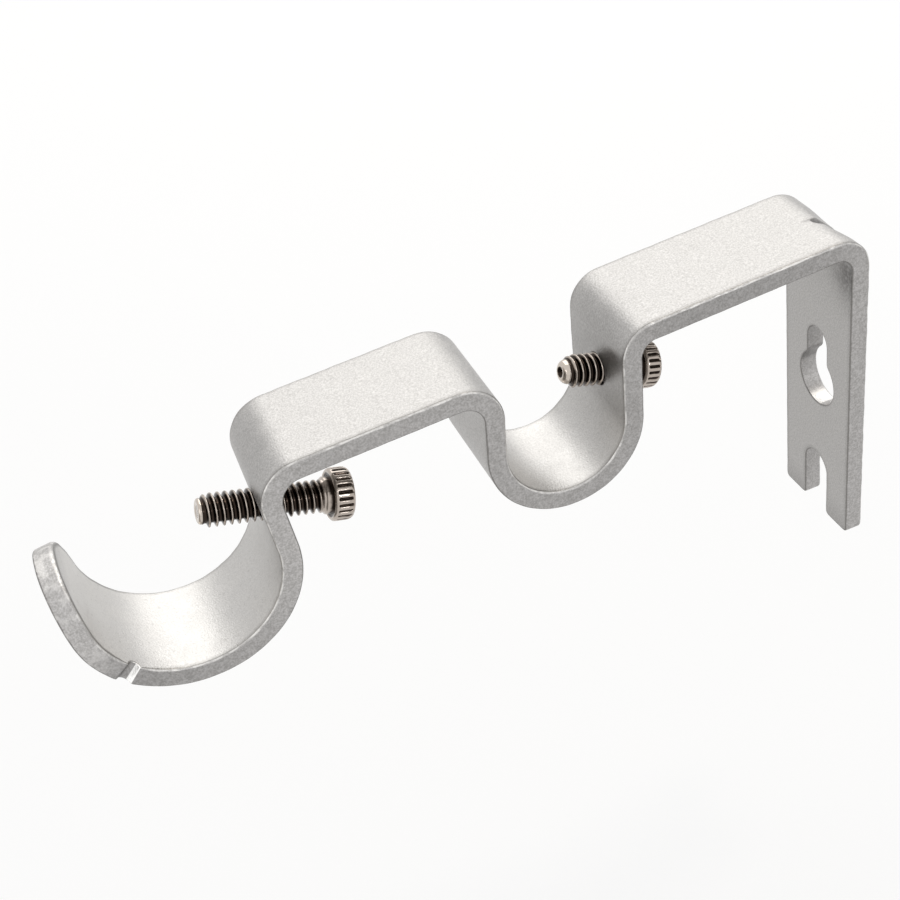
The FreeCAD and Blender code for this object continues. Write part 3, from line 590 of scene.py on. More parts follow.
def is_inside(points, loops):
    """Whether points lie in the metal between the outlines, by counting crossings."""
    inside = np.zeros(len(points), bool)
    for loop in loops:
        after = np.roll(loop, -1, 0)
        for (x0, y0), (x1, y1) in zip(loop, after):
            if y0 == y1:
                continue
            between = (points[:, 1] > min(y0, y1)) & (points[:, 1] <= max(y0, y1))
            crossing = x0 + (points[:, 1] - y0) / (y1 - y0) * (x1 - x0)
            inside ^= between & (points[:, 0] < crossing)
    return inside


def grid_between(inner_loops):
    """Grid points in the metal that don't crowd the innermost rings."""
    grid = grid_points()
    grid = grid[is_inside(grid, inner_loops)]
    halfway = [np.roll((loop + np.roll(loop, -1, 0)) / 2, 1, 0) for loop in inner_loops]
    ring_points = np.concatenate(inner_loops + halfway)
    clear = np.ones(len(grid), bool)
    for block in range(0, len(grid), BLOCK):
        gaps = np.linalg.norm(grid[block:block + BLOCK, None] - ring_points[None], axis=2).min(1)
        clear[block:block + BLOCK] = gaps > CLEAR_OF_RING
    return grid[clear]


def broad_triangles(inner_loops, grid):
    """Triangles between the innermost rings and the grid, as numbers of these points in order."""
    flat = np.concatenate(inner_loops + [grid])
    edges = []
    start = 0
    for loop in inner_loops:
        edges += [(start + i, start + (i + 1) % len(loop)) for i in range(len(loop))]
        start += len(loop)
    corners, _, triangles, sources, *_ = delaunay_2d_cdt([Vector(p) for p in flat], edges, [], 0, 1e-7)
    triangles = np.array(triangles)
    middles = np.array([corners[i] for i in triangles.ravel()]).reshape(-1, 3, 2).mean(1)
    triangles = triangles[is_inside(middles, inner_loops)]
    return np.array([source[0] for source in sources])[triangles]


in_metal = is_inside(grid_points(), list(OUTLINES.values()))
print("grid points in the metal:", int(in_metal.sum()))

# %% Rings and faces of the blank
def edge_rings(name, loop):
    """Rings over one edge, from the upper broad face to the lower one, and the innermost ring."""
    out = outward_of(loop)
    rounding = rounding_of(name, loop)[:, None]
    band = band_of(name, loop)[:, None]
    quarter_turn = np.linspace(math.pi / 2, 0, RING_COUNT)
    turns = [(1, math.pi / 2, 1)] + [(1, angle, 0) for angle in quarter_turn]
    turns += [(share, 0.0, 0) for share in np.linspace(1, -1, WALL_COUNT + 2)[1:-1]]
    turns += [(-1, angle, 0) for angle in quarter_turn[::-1]] + [(-1, math.pi / 2, 1)]
    rings = []
    for side, angle, beyond in turns:
        radius = rounding if side > 0 else rounding * SHEARED_SHARE
        inset = radius * (1 - math.cos(angle)) + (rounding - radius + band) * beyond
        height = side * (HALF_THICKNESS - radius) + np.sign(side) * radius * math.sin(angle)
        slope = np.full((len(loop), 1), np.sign(side) * math.sin(angle))
        rings.append((np.concatenate([loop - out * inset, height], 1),
                      np.concatenate([out * math.cos(angle), slope], 1),
                      np.full(len(loop), 1.0 - beyond)))
    return rings, loop - out * (rounding + band)


def build_strip():
    """Points, normals, nearness to an edge and faces of the rounded blank, still flat."""
    rows, faces, inner_loops, ring_starts = [], [], [], {1: [], -1: []}
    count = 0
    for name, loop in OUTLINES.items():
        rings, inner_loop = edge_rings(name, loop)
        total = len(loop)
        steps = np.arange(total)
        after = (steps + 1) % total
        for low in count + np.arange(len(rings) - 1) * total:
            high = low + total
            faces += np.stack([low + steps, low + after, high + after, high + steps], 1).tolist()
        rows += rings
        inner_loops.append(inner_loop)
        ring_starts[1].append(count)
        count += total * len(rings)
        ring_starts[-1].append(count - total)
    grid = grid_between(inner_loops)
    triangles = broad_triangles(inner_loops, grid)
    for side in (1, -1):
        numbers = [start + np.arange(len(loop)) for start, loop in zip(ring_starts[side], inner_loops)]
        numbers = np.concatenate(numbers + [count + np.arange(len(grid))])
        faces += numbers[triangles[:, ::side]].tolist()
        count += len(grid)
        rows.append((np.concatenate([grid, np.full((len(grid), 1), side * HALF_THICKNESS)], 1),
                     np.tile([0.0, 0.0, side], (len(grid), 1)), np.zeros(len(grid))))
    places, normals, near = [np.concatenate(parts) for parts in zip(*rows)]
    return places, normals, near, faces


flat_places, flat_normals, near_edge, strip_faces = build_strip()
print("points of the blank:", len(flat_places), "faces:", len(strip_faces))

# %% The folded strip
folded = fold(*flat_places.T)
strip_normals = fold_normals(flat_places, flat_normals)
strip_mesh = bpy.data.meshes.new("bent_strip")
strip_mesh.from_pydata((folded * MM).tolist(), [], strip_faces)
for face in strip_mesh.polygons:
    face.use_smooth = True
strip_mesh.normals_split_custom_set_from_vertices(strip_normals.tolist())
strip = bpy.data.objects.new("bent_strip", strip_mesh)
bpy.context.scene.collection.objects.link(strip)
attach(strip, "bracket_body")
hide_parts("bracket")
triangle_count = sum(len(face.vertices) - 2 for face in strip_mesh.polygons)
print("strip triangles:", triangle_count, "box", folded.min(0).round(2), folded.max(0).round(2))

# %% [markdown]
# ## Mark the strip for its finish and its painted light and shade
# The broad faces are rolled smooth, and the sides, the ends and the walls of the openings are
# sheared or punched, so they look rougher. A painted map could tell the plating which is which,
# but numbers carried by the strip's own points are exact and need no picture. Turn is how far the
# normal has left the broad face: 0 there, and 1 on a cut. The painted shade mark tells where shade
# is painted into the colour: around the screw holes, inside the top bend, in the dart, in the
# keyhole and on one wall of the notch; it also darkens the back of the foot. The painted light
# mark tells where light is painted: in the cups, and as highlights on a wall of the keyhole and of
# the notch. The cut's painted light is light and shade painted on the sheared edge along the strip,
# upper says which broad face is nearer, and near_edge is 1 round every edge and fades inside it.

# %% Painted shade
SHADE_AT_HOLE = {"rear_neck": 0.42, "front_neck": 0.25}
SHADE_IN_TOP_BEND = 1.25
DARKER_AT_FOOT = 0.45
SHADE_KEY_SHOULDER = 0.75
SHADE_KEY_TOP = 0.25
SHADE_NOTCH = 0.9
HOLE_SHADE_FADE = 8.0
BEND_SHADE_REACH = 4.5
FOOT_DARK_REACH = 5.0
CREASE_HALF = 0.38
CREASE_REACH = 3.4


def around(along, across, middle_along, middle_across=0.0):
    """Distance in the flat blank from one of its places."""
    return np.hypot(along - middle_along, across - middle_across)


def painted_shade_places():
    """How much each point is darkened, from 0 to 1, and a little over 1 where it is darkest: painted
    shade, and the back of the foot.
    """
    along, across, up = flat_places.T
    under = flat_normals[:, 2] < -0.8
    wall = np.abs(flat_normals[:, 2]) < 0.5
    painted_shade = np.zeros(len(along))
    # Painted shade round each screw hole, broadest at the rear one.
    for neck, drop in HOLE_DROPS.items():
        off_hole = around(along, across, STARTS[neck] + drop) - HOLE_RADIUS
        shade_patch = SHADE_AT_HOLE[neck] * np.clip(1.3 - off_hole / HOLE_SHADE_FADE, 0, 1)
        painted_shade = np.maximum(painted_shade, shade_patch * (up > -1.2))
    _, start, length, *_ = PATH[TOP_BEND]
    # Painted shade in the inner corner of the top bend.
    corner = np.exp(-((along - start + 1) / BEND_SHADE_REACH) ** 2) * np.clip((across - 1) / 6, 0.2, 1)
    painted_shade = np.maximum(painted_shade, SHADE_IN_TOP_BEND * corner * under)
    # Painted shade in the dart's groove on the outside of the top bend.
    crease = np.clip(1 - np.abs(across - DART_SHIFT + 0.3) / CREASE_HALF, 0, 1)
    crease *= np.clip(CREASE_REACH - np.abs(along - start - length / 2), 0, 1)
    painted_shade = np.maximum(painted_shade, np.sqrt(crease) * (up > 1))
    # Darker on the back of the foot, near its end.
    painted_shade = np.maximum(painted_shade, DARKER_AT_FOOT * np.clip(1 - along / FOOT_DARK_REACH, 0, 1) * under)
    # Painted shade on the far wall of the keyhole, strongest at its shoulders.
    far_key_wall = wall & (around(along, across, KEY_MIDDLE) < 12)
    far_key_wall &= (across < 0) & (across > 1 - HALF_WIDTH)
    key = np.where(along < KEY_MIDDLE + 4.3, SHADE_KEY_SHOULDER, SHADE_KEY_TOP)
    painted_shade = np.maximum(painted_shade, key * np.clip((along - KEY_MIDDLE - 0.6) / 0.8, 0, 1) * far_key_wall)
    # Painted shade on the notch's wall that faces back towards the foot.
    notch_wall = (around(along, across, NOTCH_ALONG, HALF_WIDTH) < 1.2) & (flat_normals[:, 0] < -0.45)
    return np.maximum(painted_shade, SHADE_NOTCH * notch_wall)


print("darkest in the top bend:", SHADE_IN_TOP_BEND)

# %% Painted light, and painted light and shade on the cut edge
REAR_CUP_LIGHT = (REAR_CUP, 0.62, 0.0, 0.0)
FRONT_CUP_LIGHT = (FRONT_CUP, 0.85, 0.45, 9.0)
KEY_WALL_HIGHLIGHT = 2.5
NOTCH_WALL_HIGHLIGHT = 3.0


def painted_light_places():
    """How much light is painted at each point: up to about 1 in the cups, and over 2 as highlights on two
    cut walls.
    """
    along, across, _ = flat_places.T
    wall = np.abs(flat_normals[:, 2]) < 0.5
    painted_light = np.zeros(len(along))
    # Painted light on the broad face inside both cups, rising towards the front cup's lip.
    for index, strength, rise, beyond in (REAR_CUP_LIGHT, FRONT_CUP_LIGHT):
        _, start, length, *_ = PATH[index]
        inside = np.clip((along - start + 3) / 6, 0, 1)
        inside *= np.clip((start + length + beyond - along) / 5, 0, 1)
        level = strength + rise * np.clip((along - start - 0.6 * length) / (0.3 * length), 0, 1)
        painted_light = np.maximum(painted_light, level * inside * (flat_normals[:, 2] > 0.8))
    # Painted highlight on the keyhole's lower wall.
    key_low = KEY_WALL_HIGHLIGHT * np.clip((KEY_MIDDLE - 1.8 - along) / 2.4, 0, 1)
    painted_light = np.maximum(painted_light, key_low * (wall & (around(along, across, KEY_MIDDLE) < 6) & (across < 1)))
    # Painted highlight on the notch's wall that faces the lip.
    notch_wall = (around(along, across, NOTCH_ALONG, HALF_WIDTH) < 1.1) & (flat_normals[:, 0] > 0.5)
    return np.maximum(painted_light, NOTCH_WALL_HIGHLIGHT * notch_wall)


def cut_painted_light_levels():
    """Painted light and shade on the sheared edge, as a brightness that changes along the strip."""
    rear_cup, front_cup = PATH[REAR_CUP][1], PATH[FRONT_CUP][1]
    # Painted light and shade: brighter at the necks, the front cup and the lip, darker along the rear arm
    # and before the notch.
    stops = [
        (0, 1.04), (STARTS["rear_arm"] - 6, 1.0), (STARTS["rear_arm"] + 3, 0.86),
        (STARTS["rear_neck"] - 10, 0.83), (STARTS["rear_neck"] + 2, 1.04), (rear_cup + 8, 0.94),
        (STARTS["front_arm"], 1.0), (STARTS["front_arm"] + 18, 0.98), (STARTS["front_neck"], 1.15),
        (front_cup, 1.22), (front_cup + 14, 1.0), (NOTCH_ALONG - 2, 0.82), (NOTCH_ALONG + 3, 0.9),
        (STRIP_LENGTH - 9, 1.25), (STRIP_LENGTH, 1.05),
    ]
    places, tones = zip(*stops)
    return np.interp(flat_places[:, 0], places, tones)


MARKS = {
    "turn": np.arccos(np.clip(np.abs(flat_normals[:, 2]), 0, 1)) / (math.pi / 2),
    "painted_shade": painted_shade_places(),
    "painted_light": painted_light_places(),
    "along": flat_places[:, 0],
    "near_edge": near_edge,
    "cut_painted_light": cut_painted_light_levels(),
    "upper": np.clip(flat_places[:, 2] / HALF_THICKNESS, -1, 1),
}
for name, values in MARKS.items():
    attribute = strip_mesh.attributes.new(name, "FLOAT", "POINT")
    attribute.data.foreach_set("value", values.astype(np.float32))
    print(name, "from", round(float(values.min()), 2), "to", round(float(values.max()), 2))

# %% [markdown]
# ## The strip's plating
# The strip was tumbled, bent and then plated with satin nickel. A plain grey metal would do from
# afar, but from near the eye knows the finish by its wear, so the colour is laid on in coats: some
# are the real part's finish, and some are painted light and shade. Metallic is 1, because a metal
# is all reflection, and the colour is that of its reflection. The tumbled grain is about 0.24 mm
# across and sparkles a little through a light bump, and slow clouds of 4 mm change the gloss. The
# cut faces are duller, mottled with flecks of 0.55 mm, and painted lighter or darker along the
# strip as painted light and shade. Round an edge a thin painted dark reflection comes first, and
# then painted highlights in dashes of 1.3 mm; the lower edge gets painted shade instead. Last come
# dark pits in the cups, which are painted lighter as painted light, a painted shade band inside the
# edges that is strongest past the notch, painted highlights at the lip and on two cut walls, and
# mottled painted shade in the places of the painted shade mark.

# %% Patterns and coats
PATTERNS = {  # size in mm, detail and roughness of each noise
    "grain": (0.24, 2.0, 0.5),
    "uneven": (4.0, 3.0, 0.5),
    "fleck": (0.55, 5.0, 0.6),
    "dash": (1.3, 2.0, 0.5),
}
SPECKLE_FLECKS = 0.6


def read_strip(tree):
    """The strip's marks and the patterns of its plating at the shaded place, by name."""
    here = {name: add_node(tree, "Attribute", output="Fac", attribute_name=name) for name in MARKS}
    place = add_node(tree, "TexCoord", output="Object")
    for name, (pattern_mm, detail, roughness) in PATTERNS.items():
        settings = {"Vector": place, "Scale": 1 / (pattern_mm * MM)}
        settings.update({"Detail": detail, "Roughness": roughness})
        here[name] = add_node(tree, "TexNoise", settings, "Fac")
    flecks = add_node(tree, "Math", (here["fleck"], SPECKLE_FLECKS), **TIMES)
    here["speckle"] = add_node(tree, "Math", (flecks, here["grain"]), **PLUS)
    centred = add_node(tree, "Math", (here["fleck"], 0.5), **MINUS)
    wander = add_node(tree, "Math", (centred, 0.2), **TIMES)
    here["rim"] = add_node(tree, "Math", (here["turn"], wander), **PLUS)
    return here


def lay_over(tree, colour, share, coat, strength=1.0):
    """A colour with a coat of another over it; share tells where, and strength how dense."""
    dense = add_node(tree, "Math", (share, strength), **TIMES)
    return add_node(tree, "Mix", {0: dense, 6: colour, 7: linear(coat)}, 2, **COLOURS)


def between(tree, value, opens, closes):
    """One between two smooth steps of a value, and zero outside them."""
    rise = add_node(tree, "MapRange", (value, *opens, 0.0, 1.0), **SMOOTH)
    fall = add_node(tree, "MapRange", (value, *closes, 1.0, 0.0), **SMOOTH)
    return add_node(tree, "Math", (rise, fall), **TIMES)


print("patterns in mm:", {name: size for name, (size, _, _) in PATTERNS.items()})

# %% Colours of the broad and the cut faces
BROAD = ("9D9B99", "BBB9B7")
CUT = ("9B9997", "BCBAB9")


def broad_colour(tree, here):
    """Broad faces: fine grain under slow clouds, painted light in the cups, with dark pits there."""
    clouds = add_node(tree, "Math", (here["uneven"], 0.3), **TIMES)
    both = add_node(tree, "Math", (here["grain"], clouds), **PLUS)
    pale = add_node(tree, "MapRange", (both, 0.35, 0.95), **SMOOTH)
    colour = lay_over(tree, linear(BROAD[0]), pale, BROAD[1])
    # Painted light: the broad faces inside the cups are made paler.
    colour = lay_over(tree, colour, here["painted_light"], "D9D7D4", 0.5)
    painted_light_share = add_node(tree, "MapRange", (here["painted_light"], 0.0, 1.0), **SMOOTH)
    pits = add_node(tree, "MapRange", (here["fleck"], 0.58, 0.70, 0.0, 0.22), **SMOOTH)
    pits = add_node(tree, "Math", (painted_light_share, pits), **TIMES)
    return lay_over(tree, colour, pits, "77746F")


def cut_colour(tree, here):
    """Cut faces: mottled with flecks, with painted light and shade from place to place along the strip."""
    pale = add_node(tree, "MapRange", (here["speckle"], 0.50, 1.10), **SMOOTH)
    mottled = lay_over(tree, linear(CUT[0]), pale, CUT[1])
    # The painted light and shade along the strip scales the mottled colour.
    return add_node(tree, "HueSaturation", {"Color": mottled, "Value": here["cut_painted_light"]})


print("broad faces from", *BROAD, "and cut faces from", *CUT)

# %% Colours of the edges, and painted light and shade
SHADE_BAND_SPAN = (NOTCH_ALONG - 4.0, NOTCH_ALONG + 5.0)
LIP_HIGHLIGHT_SPAN = (STRIP_LENGTH - 17.0, STRIP_LENGTH - 10.0)


def edge_colour(tree, here, colour):
    """Round an edge: a painted dark reflection, painted highlight dashes and painted shade inside and
    below it.
    """
    # Painted dark reflection: a thin dark line where the edge starts to round.
    dark_reflection_line = between(tree, here["rim"], (0.05, 0.16), (0.28, 0.40))
    colour = lay_over(tree, colour, dark_reflection_line, "74726F", 0.5)
    # Painted shade in a band just inside every edge, strongest past the notch.
    inner = add_node(tree, "MapRange", (here["turn"], 0.0, 0.35, 1.0, 0.0), **SMOOTH)
    band = add_node(tree, "Math", (here["near_edge"], inner), **TIMES)
    shade_band = add_node(tree, "MapRange", (here["along"], *SHADE_BAND_SPAN, 0.28, 0.85), **SMOOTH)
    colour = lay_over(tree, colour, add_node(tree, "Math", (band, shade_band), **TIMES), "63615E")
    # Painted highlights in dashes on the rounding of the upper edge.
    painted_light_share = between(tree, here["rim"], (0.32, 0.44), (0.66, 0.80))
    dashes = add_node(tree, "MapRange", (here["dash"], 0.40, 0.60, 0.15, 0.8), **SMOOTH)
    painted_light_share = add_node(tree, "Math", (painted_light_share, dashes), **TIMES)
    upper = add_node(tree, "MapRange", (here["upper"], -0.3, 0.3, 0.1, 1.0), **SMOOTH)
    colour = lay_over(tree, colour, add_node(tree, "Math", (painted_light_share, upper), **TIMES), "E4E2DF")
    # Painted shade on the rounding of the lower edge.
    lower_edge_shade = between(tree, here["rim"], (0.05, 0.3), (0.8, 0.95))
    lower = add_node(tree, "MapRange", (here["upper"], -0.6, -0.3, 0.6, 0.0), **SMOOTH)
    return lay_over(tree, colour, add_node(tree, "Math", (lower_edge_shade, lower), **TIMES), "5E5B58")


def painted_light_and_shade(tree, here, colour):
    """Painted light and shade over everything: highlights on the lip's cut and on two cut walls, and
    mottled shade.
    """
    # Painted highlight in patches on the lip's cut face.
    lip_highlight = add_node(tree, "MapRange", (here["dash"], 0.45, 0.60), **SMOOTH)
    for name, steps in (("turn", (0.5, 0.7)), ("along", LIP_HIGHLIGHT_SPAN)):
        share = add_node(tree, "MapRange", (here[name], *steps), **SMOOTH)
        lip_highlight = add_node(tree, "Math", (lip_highlight, share), **TIMES)
    colour = lay_over(tree, colour, lip_highlight, "E6E4E1", 0.35)
    # Painted highlight on the cut walls where the painted light mark is over 2.
    wall_highlight = add_node(tree, "MapRange", (here["painted_light"], 2.0, 2.9), **SMOOTH)
    colour = lay_over(tree, colour, wall_highlight, "F6F5F3")
    # Mottled painted shade where the painted shade mark says.
    shade_patch = add_node(tree, "MapRange", (here["fleck"], 0.3, 0.62, 0.6, 1.0), **SMOOTH)
    shade_patch = add_node(tree, "Math", (here["painted_shade"], shade_patch), **TIMES)
    return lay_over(tree, colour, shade_patch, "4A4846", 0.62)


print("burr from", round(SHADE_BAND_SPAN[0], 1), "mm and tears from", round(LIP_HIGHLIGHT_SPAN[0], 1), "mm along the strip")

# %% Satin nickel plating
CUT_ROUGHNESS = 0.48
BROAD_ROUGHNESS = (0.36, 0.46)
RELIEF = 0.04 * MM


def make_strip_plating():
    """Satin nickel plating over tumbled steel, with cut faces and rubbed edges."""
    material, tree = new_material("satin_nickel_plating")
    here = read_strip(tree)
    cut_share = add_node(tree, "MapRange", (here["turn"], 0.72, 0.86), **SMOOTH)
    settings = {0: cut_share, 6: broad_colour(tree, here), 7: cut_colour(tree, here)}
    colour = add_node(tree, "Mix", settings, 2, **COLOURS)
    colour = edge_colour(tree, here, colour)
    colour = painted_light_and_shade(tree, here, colour)
    gloss = add_node(tree, "MapRange", (here["uneven"], 0.3, 0.7, *BROAD_ROUGHNESS), **SMOOTH)
    rough = add_node(tree, "Mix", {0: cut_share, 2: gloss, 3: CUT_ROUGHNESS})
    relief = add_node(tree, "Mix", {0: cut_share, 2: here["grain"], 3: here["speckle"]})
    bump = add_node(tree, "Bump", {"Height": relief, "Strength": 1.0, "Distance": RELIEF})
    settings = {"Base Color": colour, "Roughness": rough, "Metallic": 1.0, "Normal": bump}
    metal = add_node(tree, "BsdfPrincipled", settings)
    add_node(tree, "OutputMaterial", {"Surface": metal})
    return material


strip.data.materials.append(make_strip_plating())
print("plating nodes:", len(strip.data.materials[0].node_tree.nodes))

# %% [markdown]
# ## The thumb screws
# Each screw was turned from bar, threaded and knurled in one setting. A thread could be cut with
# a boolean, but that leaves torn faces, and bump alone leaves a smooth outline. So the surface is
# one lathe form whose radius also changes around the axis: the thread's V follows a right-hand
# helix, and the knurl's grooves repeat around the head. The two screws are alike, but the rear
# one has a smaller head, a rounder tip and a recess in it. The thread's phase is where its crests
# stand in the photograph.

# %% Sizes of a thumb screw
HEAD_RADIUS = {"front": 3.7, "rear": 3.48}
HEAD_LENGTH = {"front": 2.9, "rear": 2.6}
HEAD_ROUND = 0.5
BACK_ROUND = 1.0
BACK_FALL = 0.45
COLLAR_RADIUS = 2.6
COLLAR_LENGTH = 0.95
COLLAR_SLOPE = 0.2
COLLAR_SUNK = 0.25
THREAD_RADIUS = 2.33
THREAD_ROOT = 1.72
THREAD_PITCH = 1.02
THREAD_PHASE = {"front": 0.901, "rear": 0.669}
THREAD_RUN_IN = (0.1, 0.7)
TIP_RADIUS = {"front": 1.8, "rear": 1.72}
TIP_LENGTH = {"front": 0.5, "rear": 0.8}
TIP_ROUND = {"front": 0.42, "rear": 0.9}
TIP_REACH = {"front": 0.0, "rear": 0.25}
TIP_SLOPE = 0.7
RECESS_RADIUS = 0.75
RECESS_DEPTH = {"front": 0.06, "rear": 0.5}
# Painted shade in the tip's recess, given as a hollow's depth: dark in the rear recess, none in the front.
RECESS_SHADE = {"front": 0.0, "rear": 1.0}
KNURL_COUNT = 24
KNURL_DEPTH = 0.34
AROUND = KNURL_COUNT * 10
RING_STEP = 0.065
HEAD_STEP = 0.1
QUARTER_STEPS = 6
POLISHED = -0.4
# Painted shade on the face by the collar, given as a hollow's depth.
SHADED = 0.8
print("rings", RING_STEP, "mm apart,", AROUND, "points around")

# %% Thread and knurl
def smooth(value, low, high):
    """Zero below low, one above high, and a smooth step between."""
    share = min(max((value - low) / (high - low), 0.0), 1.0)
    return share * share * (3 - 2 * share)


def thread_height(turns):
    """Height of the thread's V after so many turns, from 0 in the root to 1 on the crest."""
    away = abs((turns % 1.0) - 0.5)
    return 1 - smooth(0.5 - away, 0.03, 0.38)


def knurl_cut(place, angle, length):
    """Depth of the knurl at a place along a head of this length, from 0 on a ridge to 1 in a groove."""
    phase = (angle * KNURL_COUNT / (2 * math.pi)) % 1.0
    groove = smooth(1 - abs(phase - 0.5) * 2, 0.38, 0.95)
    return groove * smooth(place, 0.25, 0.5) * smooth(length - place, 0.42, 0.66)


print("knurl in the middle of a groove:", knurl_cut(1.5, math.pi / KNURL_COUNT, 3.0))

# %% Rings of a thumb screw
QUARTER_TURN = [step / QUARTER_STEPS * math.pi / 2 for step in range(QUARTER_STEPS + 1)]
QUARTER = [(math.sin(angle), 1 - math.cos(angle)) for angle in QUARTER_TURN]


def head_rings(side):
    """Rings of the knurled head and the plain collar, from the back of the head to the shank."""
    head, length = HEAD_RADIUS[side], HEAD_LENGTH[side]
    shank = length + COLLAR_LENGTH
    straight = length - BACK_ROUND - HEAD_ROUND
    rings = []
    for sine, versed in QUARTER:
        rings.append((BACK_ROUND * versed, head - BACK_ROUND * BACK_FALL * (1 - sine), 0, 1))
    count = round(straight / HEAD_STEP)
    for step in range(1, count):
        rings.append((BACK_ROUND + step / count * straight, head, 0, 1))
    for sine, versed in QUARTER:
        rings.append((length - HEAD_ROUND * (1 - sine), head - HEAD_ROUND * versed, 0, 1))
    rings.append((length - COLLAR_SUNK, COLLAR_RADIUS + 0.25, 0, 0))
    rings.append((length - COLLAR_SUNK, COLLAR_RADIUS, 0, 0))
    rings.append((shank - COLLAR_SLOPE - 0.03, COLLAR_RADIUS, 0, 0))
    rings.append((shank - COLLAR_SLOPE + 0.04, COLLAR_RADIUS - 0.05, 0, 0))
    return rings


def shank_rings(side, total):
    """Rings of the threaded shank, its plain rounded tip and the recess in the tip."""
    shank = HEAD_LENGTH[side] + COLLAR_LENGTH
    tip_from = total - TIP_LENGTH[side]
    tip, bend = TIP_RADIUS[side], TIP_ROUND[side]
    rings = []
    count = round((tip_from - shank) / RING_STEP)
    for step in range(count + 1):
        place = shank + step / count * (tip_from - shank)
        down = min(max((place - (tip_from - TIP_SLOPE)) / TIP_SLOPE, 0), 1)
        threaded = smooth(place, *[shank + reach for reach in THREAD_RUN_IN])
        rings.append((place, THREAD_RADIUS - (THREAD_RADIUS - tip) * down, threaded, 0))
    for sine, versed in QUARTER:
        rings.append((total - bend * (1 - sine), tip - bend * versed, 0, 0))
    rings.append((total - 0.01, RECESS_RADIUS + 0.06, 0, 0))
    rings.append((total - 0.05, RECESS_RADIUS, 0, 0))
    rings.append((total - RECESS_DEPTH[side], RECESS_RADIUS * 0.5, 0, 0))
    return rings


print("rings of a head:", {side: len(head_rings(side)) for side in HEAD_LENGTH})

# %% Turn a thumb screw
def screw_points(side, total):
    """Points of a screw's surface, ring by ring, and each point's hollow depth, which sets its painted
    shade.
    """
    length = HEAD_LENGTH[side]
    points, hollows = [], []
    for place, radius, threaded, knurled in head_rings(side) + shank_rings(side, total):
        in_recess = place > total - RECESS_DEPTH[side] - 0.01 and radius < RECESS_RADIUS + 0.03
        on_tip = place > total - TIP_ROUND[side] - 0.02 and not in_recess
        by_collar = -0.3 < place - length < 0.01 and radius < HEAD_RADIUS[side] - HEAD_ROUND - 0.05
        for index in range(AROUND):
            angle = 2 * math.pi * index / AROUND
            turns = place / THREAD_PITCH - angle / (2 * math.pi) + THREAD_PHASE[side]
            cut = threaded * (1 - thread_height(turns))
            groove = knurled * knurl_cut(place, angle, length)
            here = radius - max(radius - THREAD_ROOT, 0) * cut - KNURL_DEPTH * groove
            points.append((here * math.cos(angle), here * math.sin(angle), place))
            # The rear recess and the face by the collar get painted shade as if they were deep hollows.
            hollow = RECESS_SHADE[side] if in_recess else max(cut, groove)
            hollows.append(POLISHED if on_tip else SHADED if by_collar else hollow)
    points += [(0, 0, 0), (0, 0, total - RECESS_DEPTH[side] - 0.02)]
    return points, hollows + [0, RECESS_SHADE[side]]


def turn_screw(name, side, total):
    """Mesh of a thumb screw along its own Z axis, from the back of its head to its tip."""
    points, hollows = screw_points(side, total)
    last = (len(points) // AROUND - 1) * AROUND
    back, tip = len(points) - 2, len(points) - 1
    pairs = [(index, (index + 1) % AROUND) for index in range(AROUND)]
    faces = []
    for low in range(0, last, AROUND):
        high = low + AROUND
        faces += [(low + index, low + after, high + after, high + index) for index, after in pairs]
    for index, after in pairs:
        faces += [(after, index, back), (last + index, last + after, tip)]
    mesh = bpy.data.meshes.new(name)
    mesh.from_pydata([Vector(point) * MM for point in points], [], faces)
    mesh.attributes.new("hollow", "FLOAT", "POINT").data.foreach_set("value", hollows)
    for face in mesh.polygons:
        face.use_smooth = True
    return mesh


def seat_of(node, axis):
    """Middle of the back of a packed screw's head, and the screw's length, both in metres."""
    points = [vertex.co for vertex in frame["nodes"][node].data.vertices]
    along = [point.dot(axis) for point in points]
    back = min(along)
    ring = [point for point, reach in zip(points, along) if reach < back + 0.01 * MM]
    middle = Vector([(min(p[i] for p in ring) + max(p[i] for p in ring)) / 2 for i in range(3)])
    return middle, max(along) - back


screw_axes = {joint["child"]: Vector(joint["axis"]).normalized() for joint in frame["joints"]}
for body, axis in screw_axes.items():
    print(body, "points along", [round(part, 3) for part in axis])

# %% [markdown]
# ## The screws' plating
# The screws are plated turned steel. Their crests are a warm bright metal and the tip is polished,
# while the hollows of thread and knurl, the recess in the rear tip and the face beside the collar
# are darkened as painted shade. Occlusion or pointiness could find the hollows, but only roughly.
# Every point of a screw carries the depth of its hollow, so one smooth step between two colours
# draws both. The turned steel is smoother than the tumbled strip, so its roughness is much lower.

# %% Turned steel with painted shade in the hollows
BLOTCH = 1.1


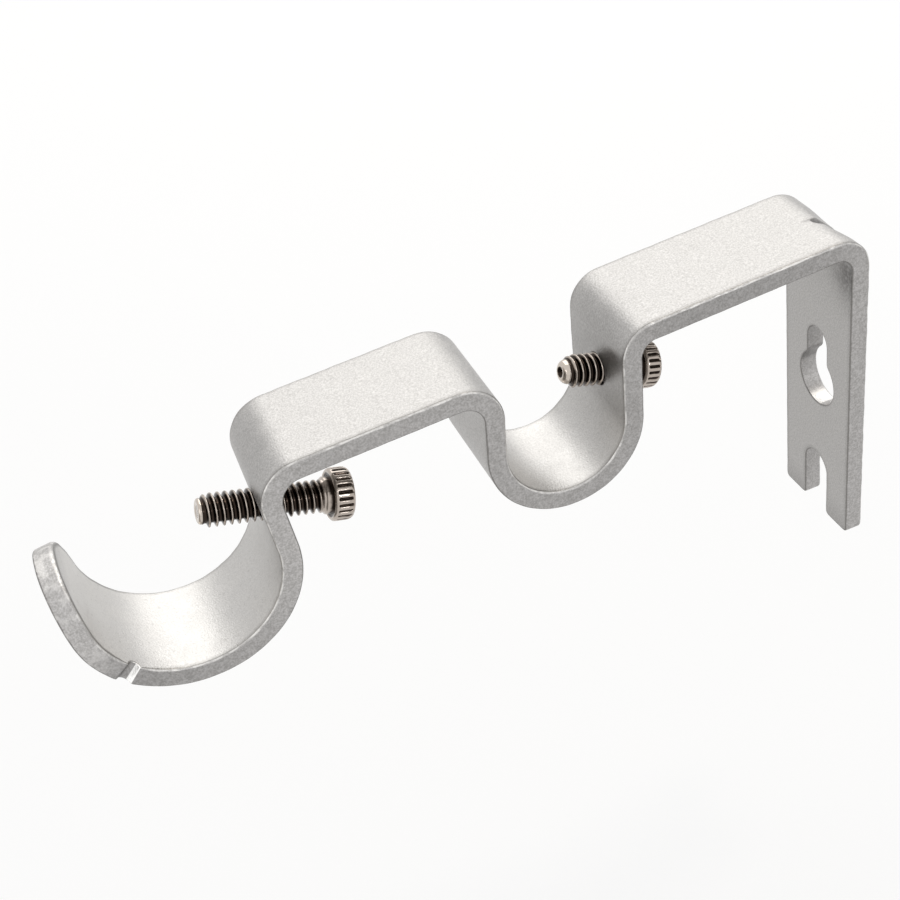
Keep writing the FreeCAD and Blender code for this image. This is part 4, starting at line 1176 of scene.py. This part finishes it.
def make_screw_steel():
    """Turned steel, warm and bright on the crests and polished on the tip, with painted shade in the
    hollows.
    """
    material, tree = new_material("turned_steel_with_painted_hollow_shade")
    place = add_node(tree, "TexCoord", output="Object")
    hollow = add_node(tree, "Attribute", output="Fac", attribute_name="hollow")
    settings = {"Vector": place, "Scale": 1 / (BLOTCH * MM), "Detail": 3.0, "Roughness": 0.5}
    blotch = add_node(tree, "TexNoise", settings, "Fac")
    wander = add_node(tree, "MapRange", (blotch, 0.3, 0.7, -0.12, 0.12), **SMOOTH)
    depth = add_node(tree, "Math", (hollow, wander), **PLUS)
    # Painted shade: the deeper the hollow, the darker the colour.
    hollow_shade = add_node(tree, "MapRange", (depth, 0.02, 0.45), **SMOOTH)
    colour = lay_over(tree, linear("B4AAA1"), hollow_shade, "332B26")
    polished = add_node(tree, "MapRange", (hollow, -0.3, -0.1, 1.0, 0.0), **SMOOTH)
    colour = lay_over(tree, colour, polished, "C6BCB2")
    gloss = add_node(tree, "MapRange", (depth, 0.0, 0.8, 0.13, 0.18), **SMOOTH)
    metal = add_node(tree, "BsdfPrincipled", {"Base Color": colour, "Roughness": gloss, "Metallic": 1.0})
    add_node(tree, "OutputMaterial", {"Surface": metal})
    return material


screw_steel = make_screw_steel()
print("black nickel nodes:", len(screw_steel.node_tree.nodes))

# %% Place both screws
for side in ("front", "rear"):
    node, body = side + "_thumb_screw", side + "_screw"
    name = side + "_knurled_screw"
    middle, total = seat_of(node, screw_axes[body])
    mesh = turn_screw(name, side, total / MM + TIP_REACH[side])
    turn = Vector((0, 0, 1)).rotation_difference(screw_axes[body]).to_matrix().to_4x4()
    mesh.transform(Matrix.Translation(middle) @ turn)
    mesh.materials.append(screw_steel)
    screw = bpy.data.objects.new(name, mesh)
    bpy.context.scene.collection.objects.link(screw)
    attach(screw, body)
    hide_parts(node)
    print(name, "length", round(total / MM, 2), "mm, faces", len(mesh.polygons))

# %% Compare the boxes and finish
look_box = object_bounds()
growth = (look_box[1] - look_box[0]) - (cad_box[1] - cad_box[0])
print("box grows by (mm):", [round(side / MM, 3) for side in growth])
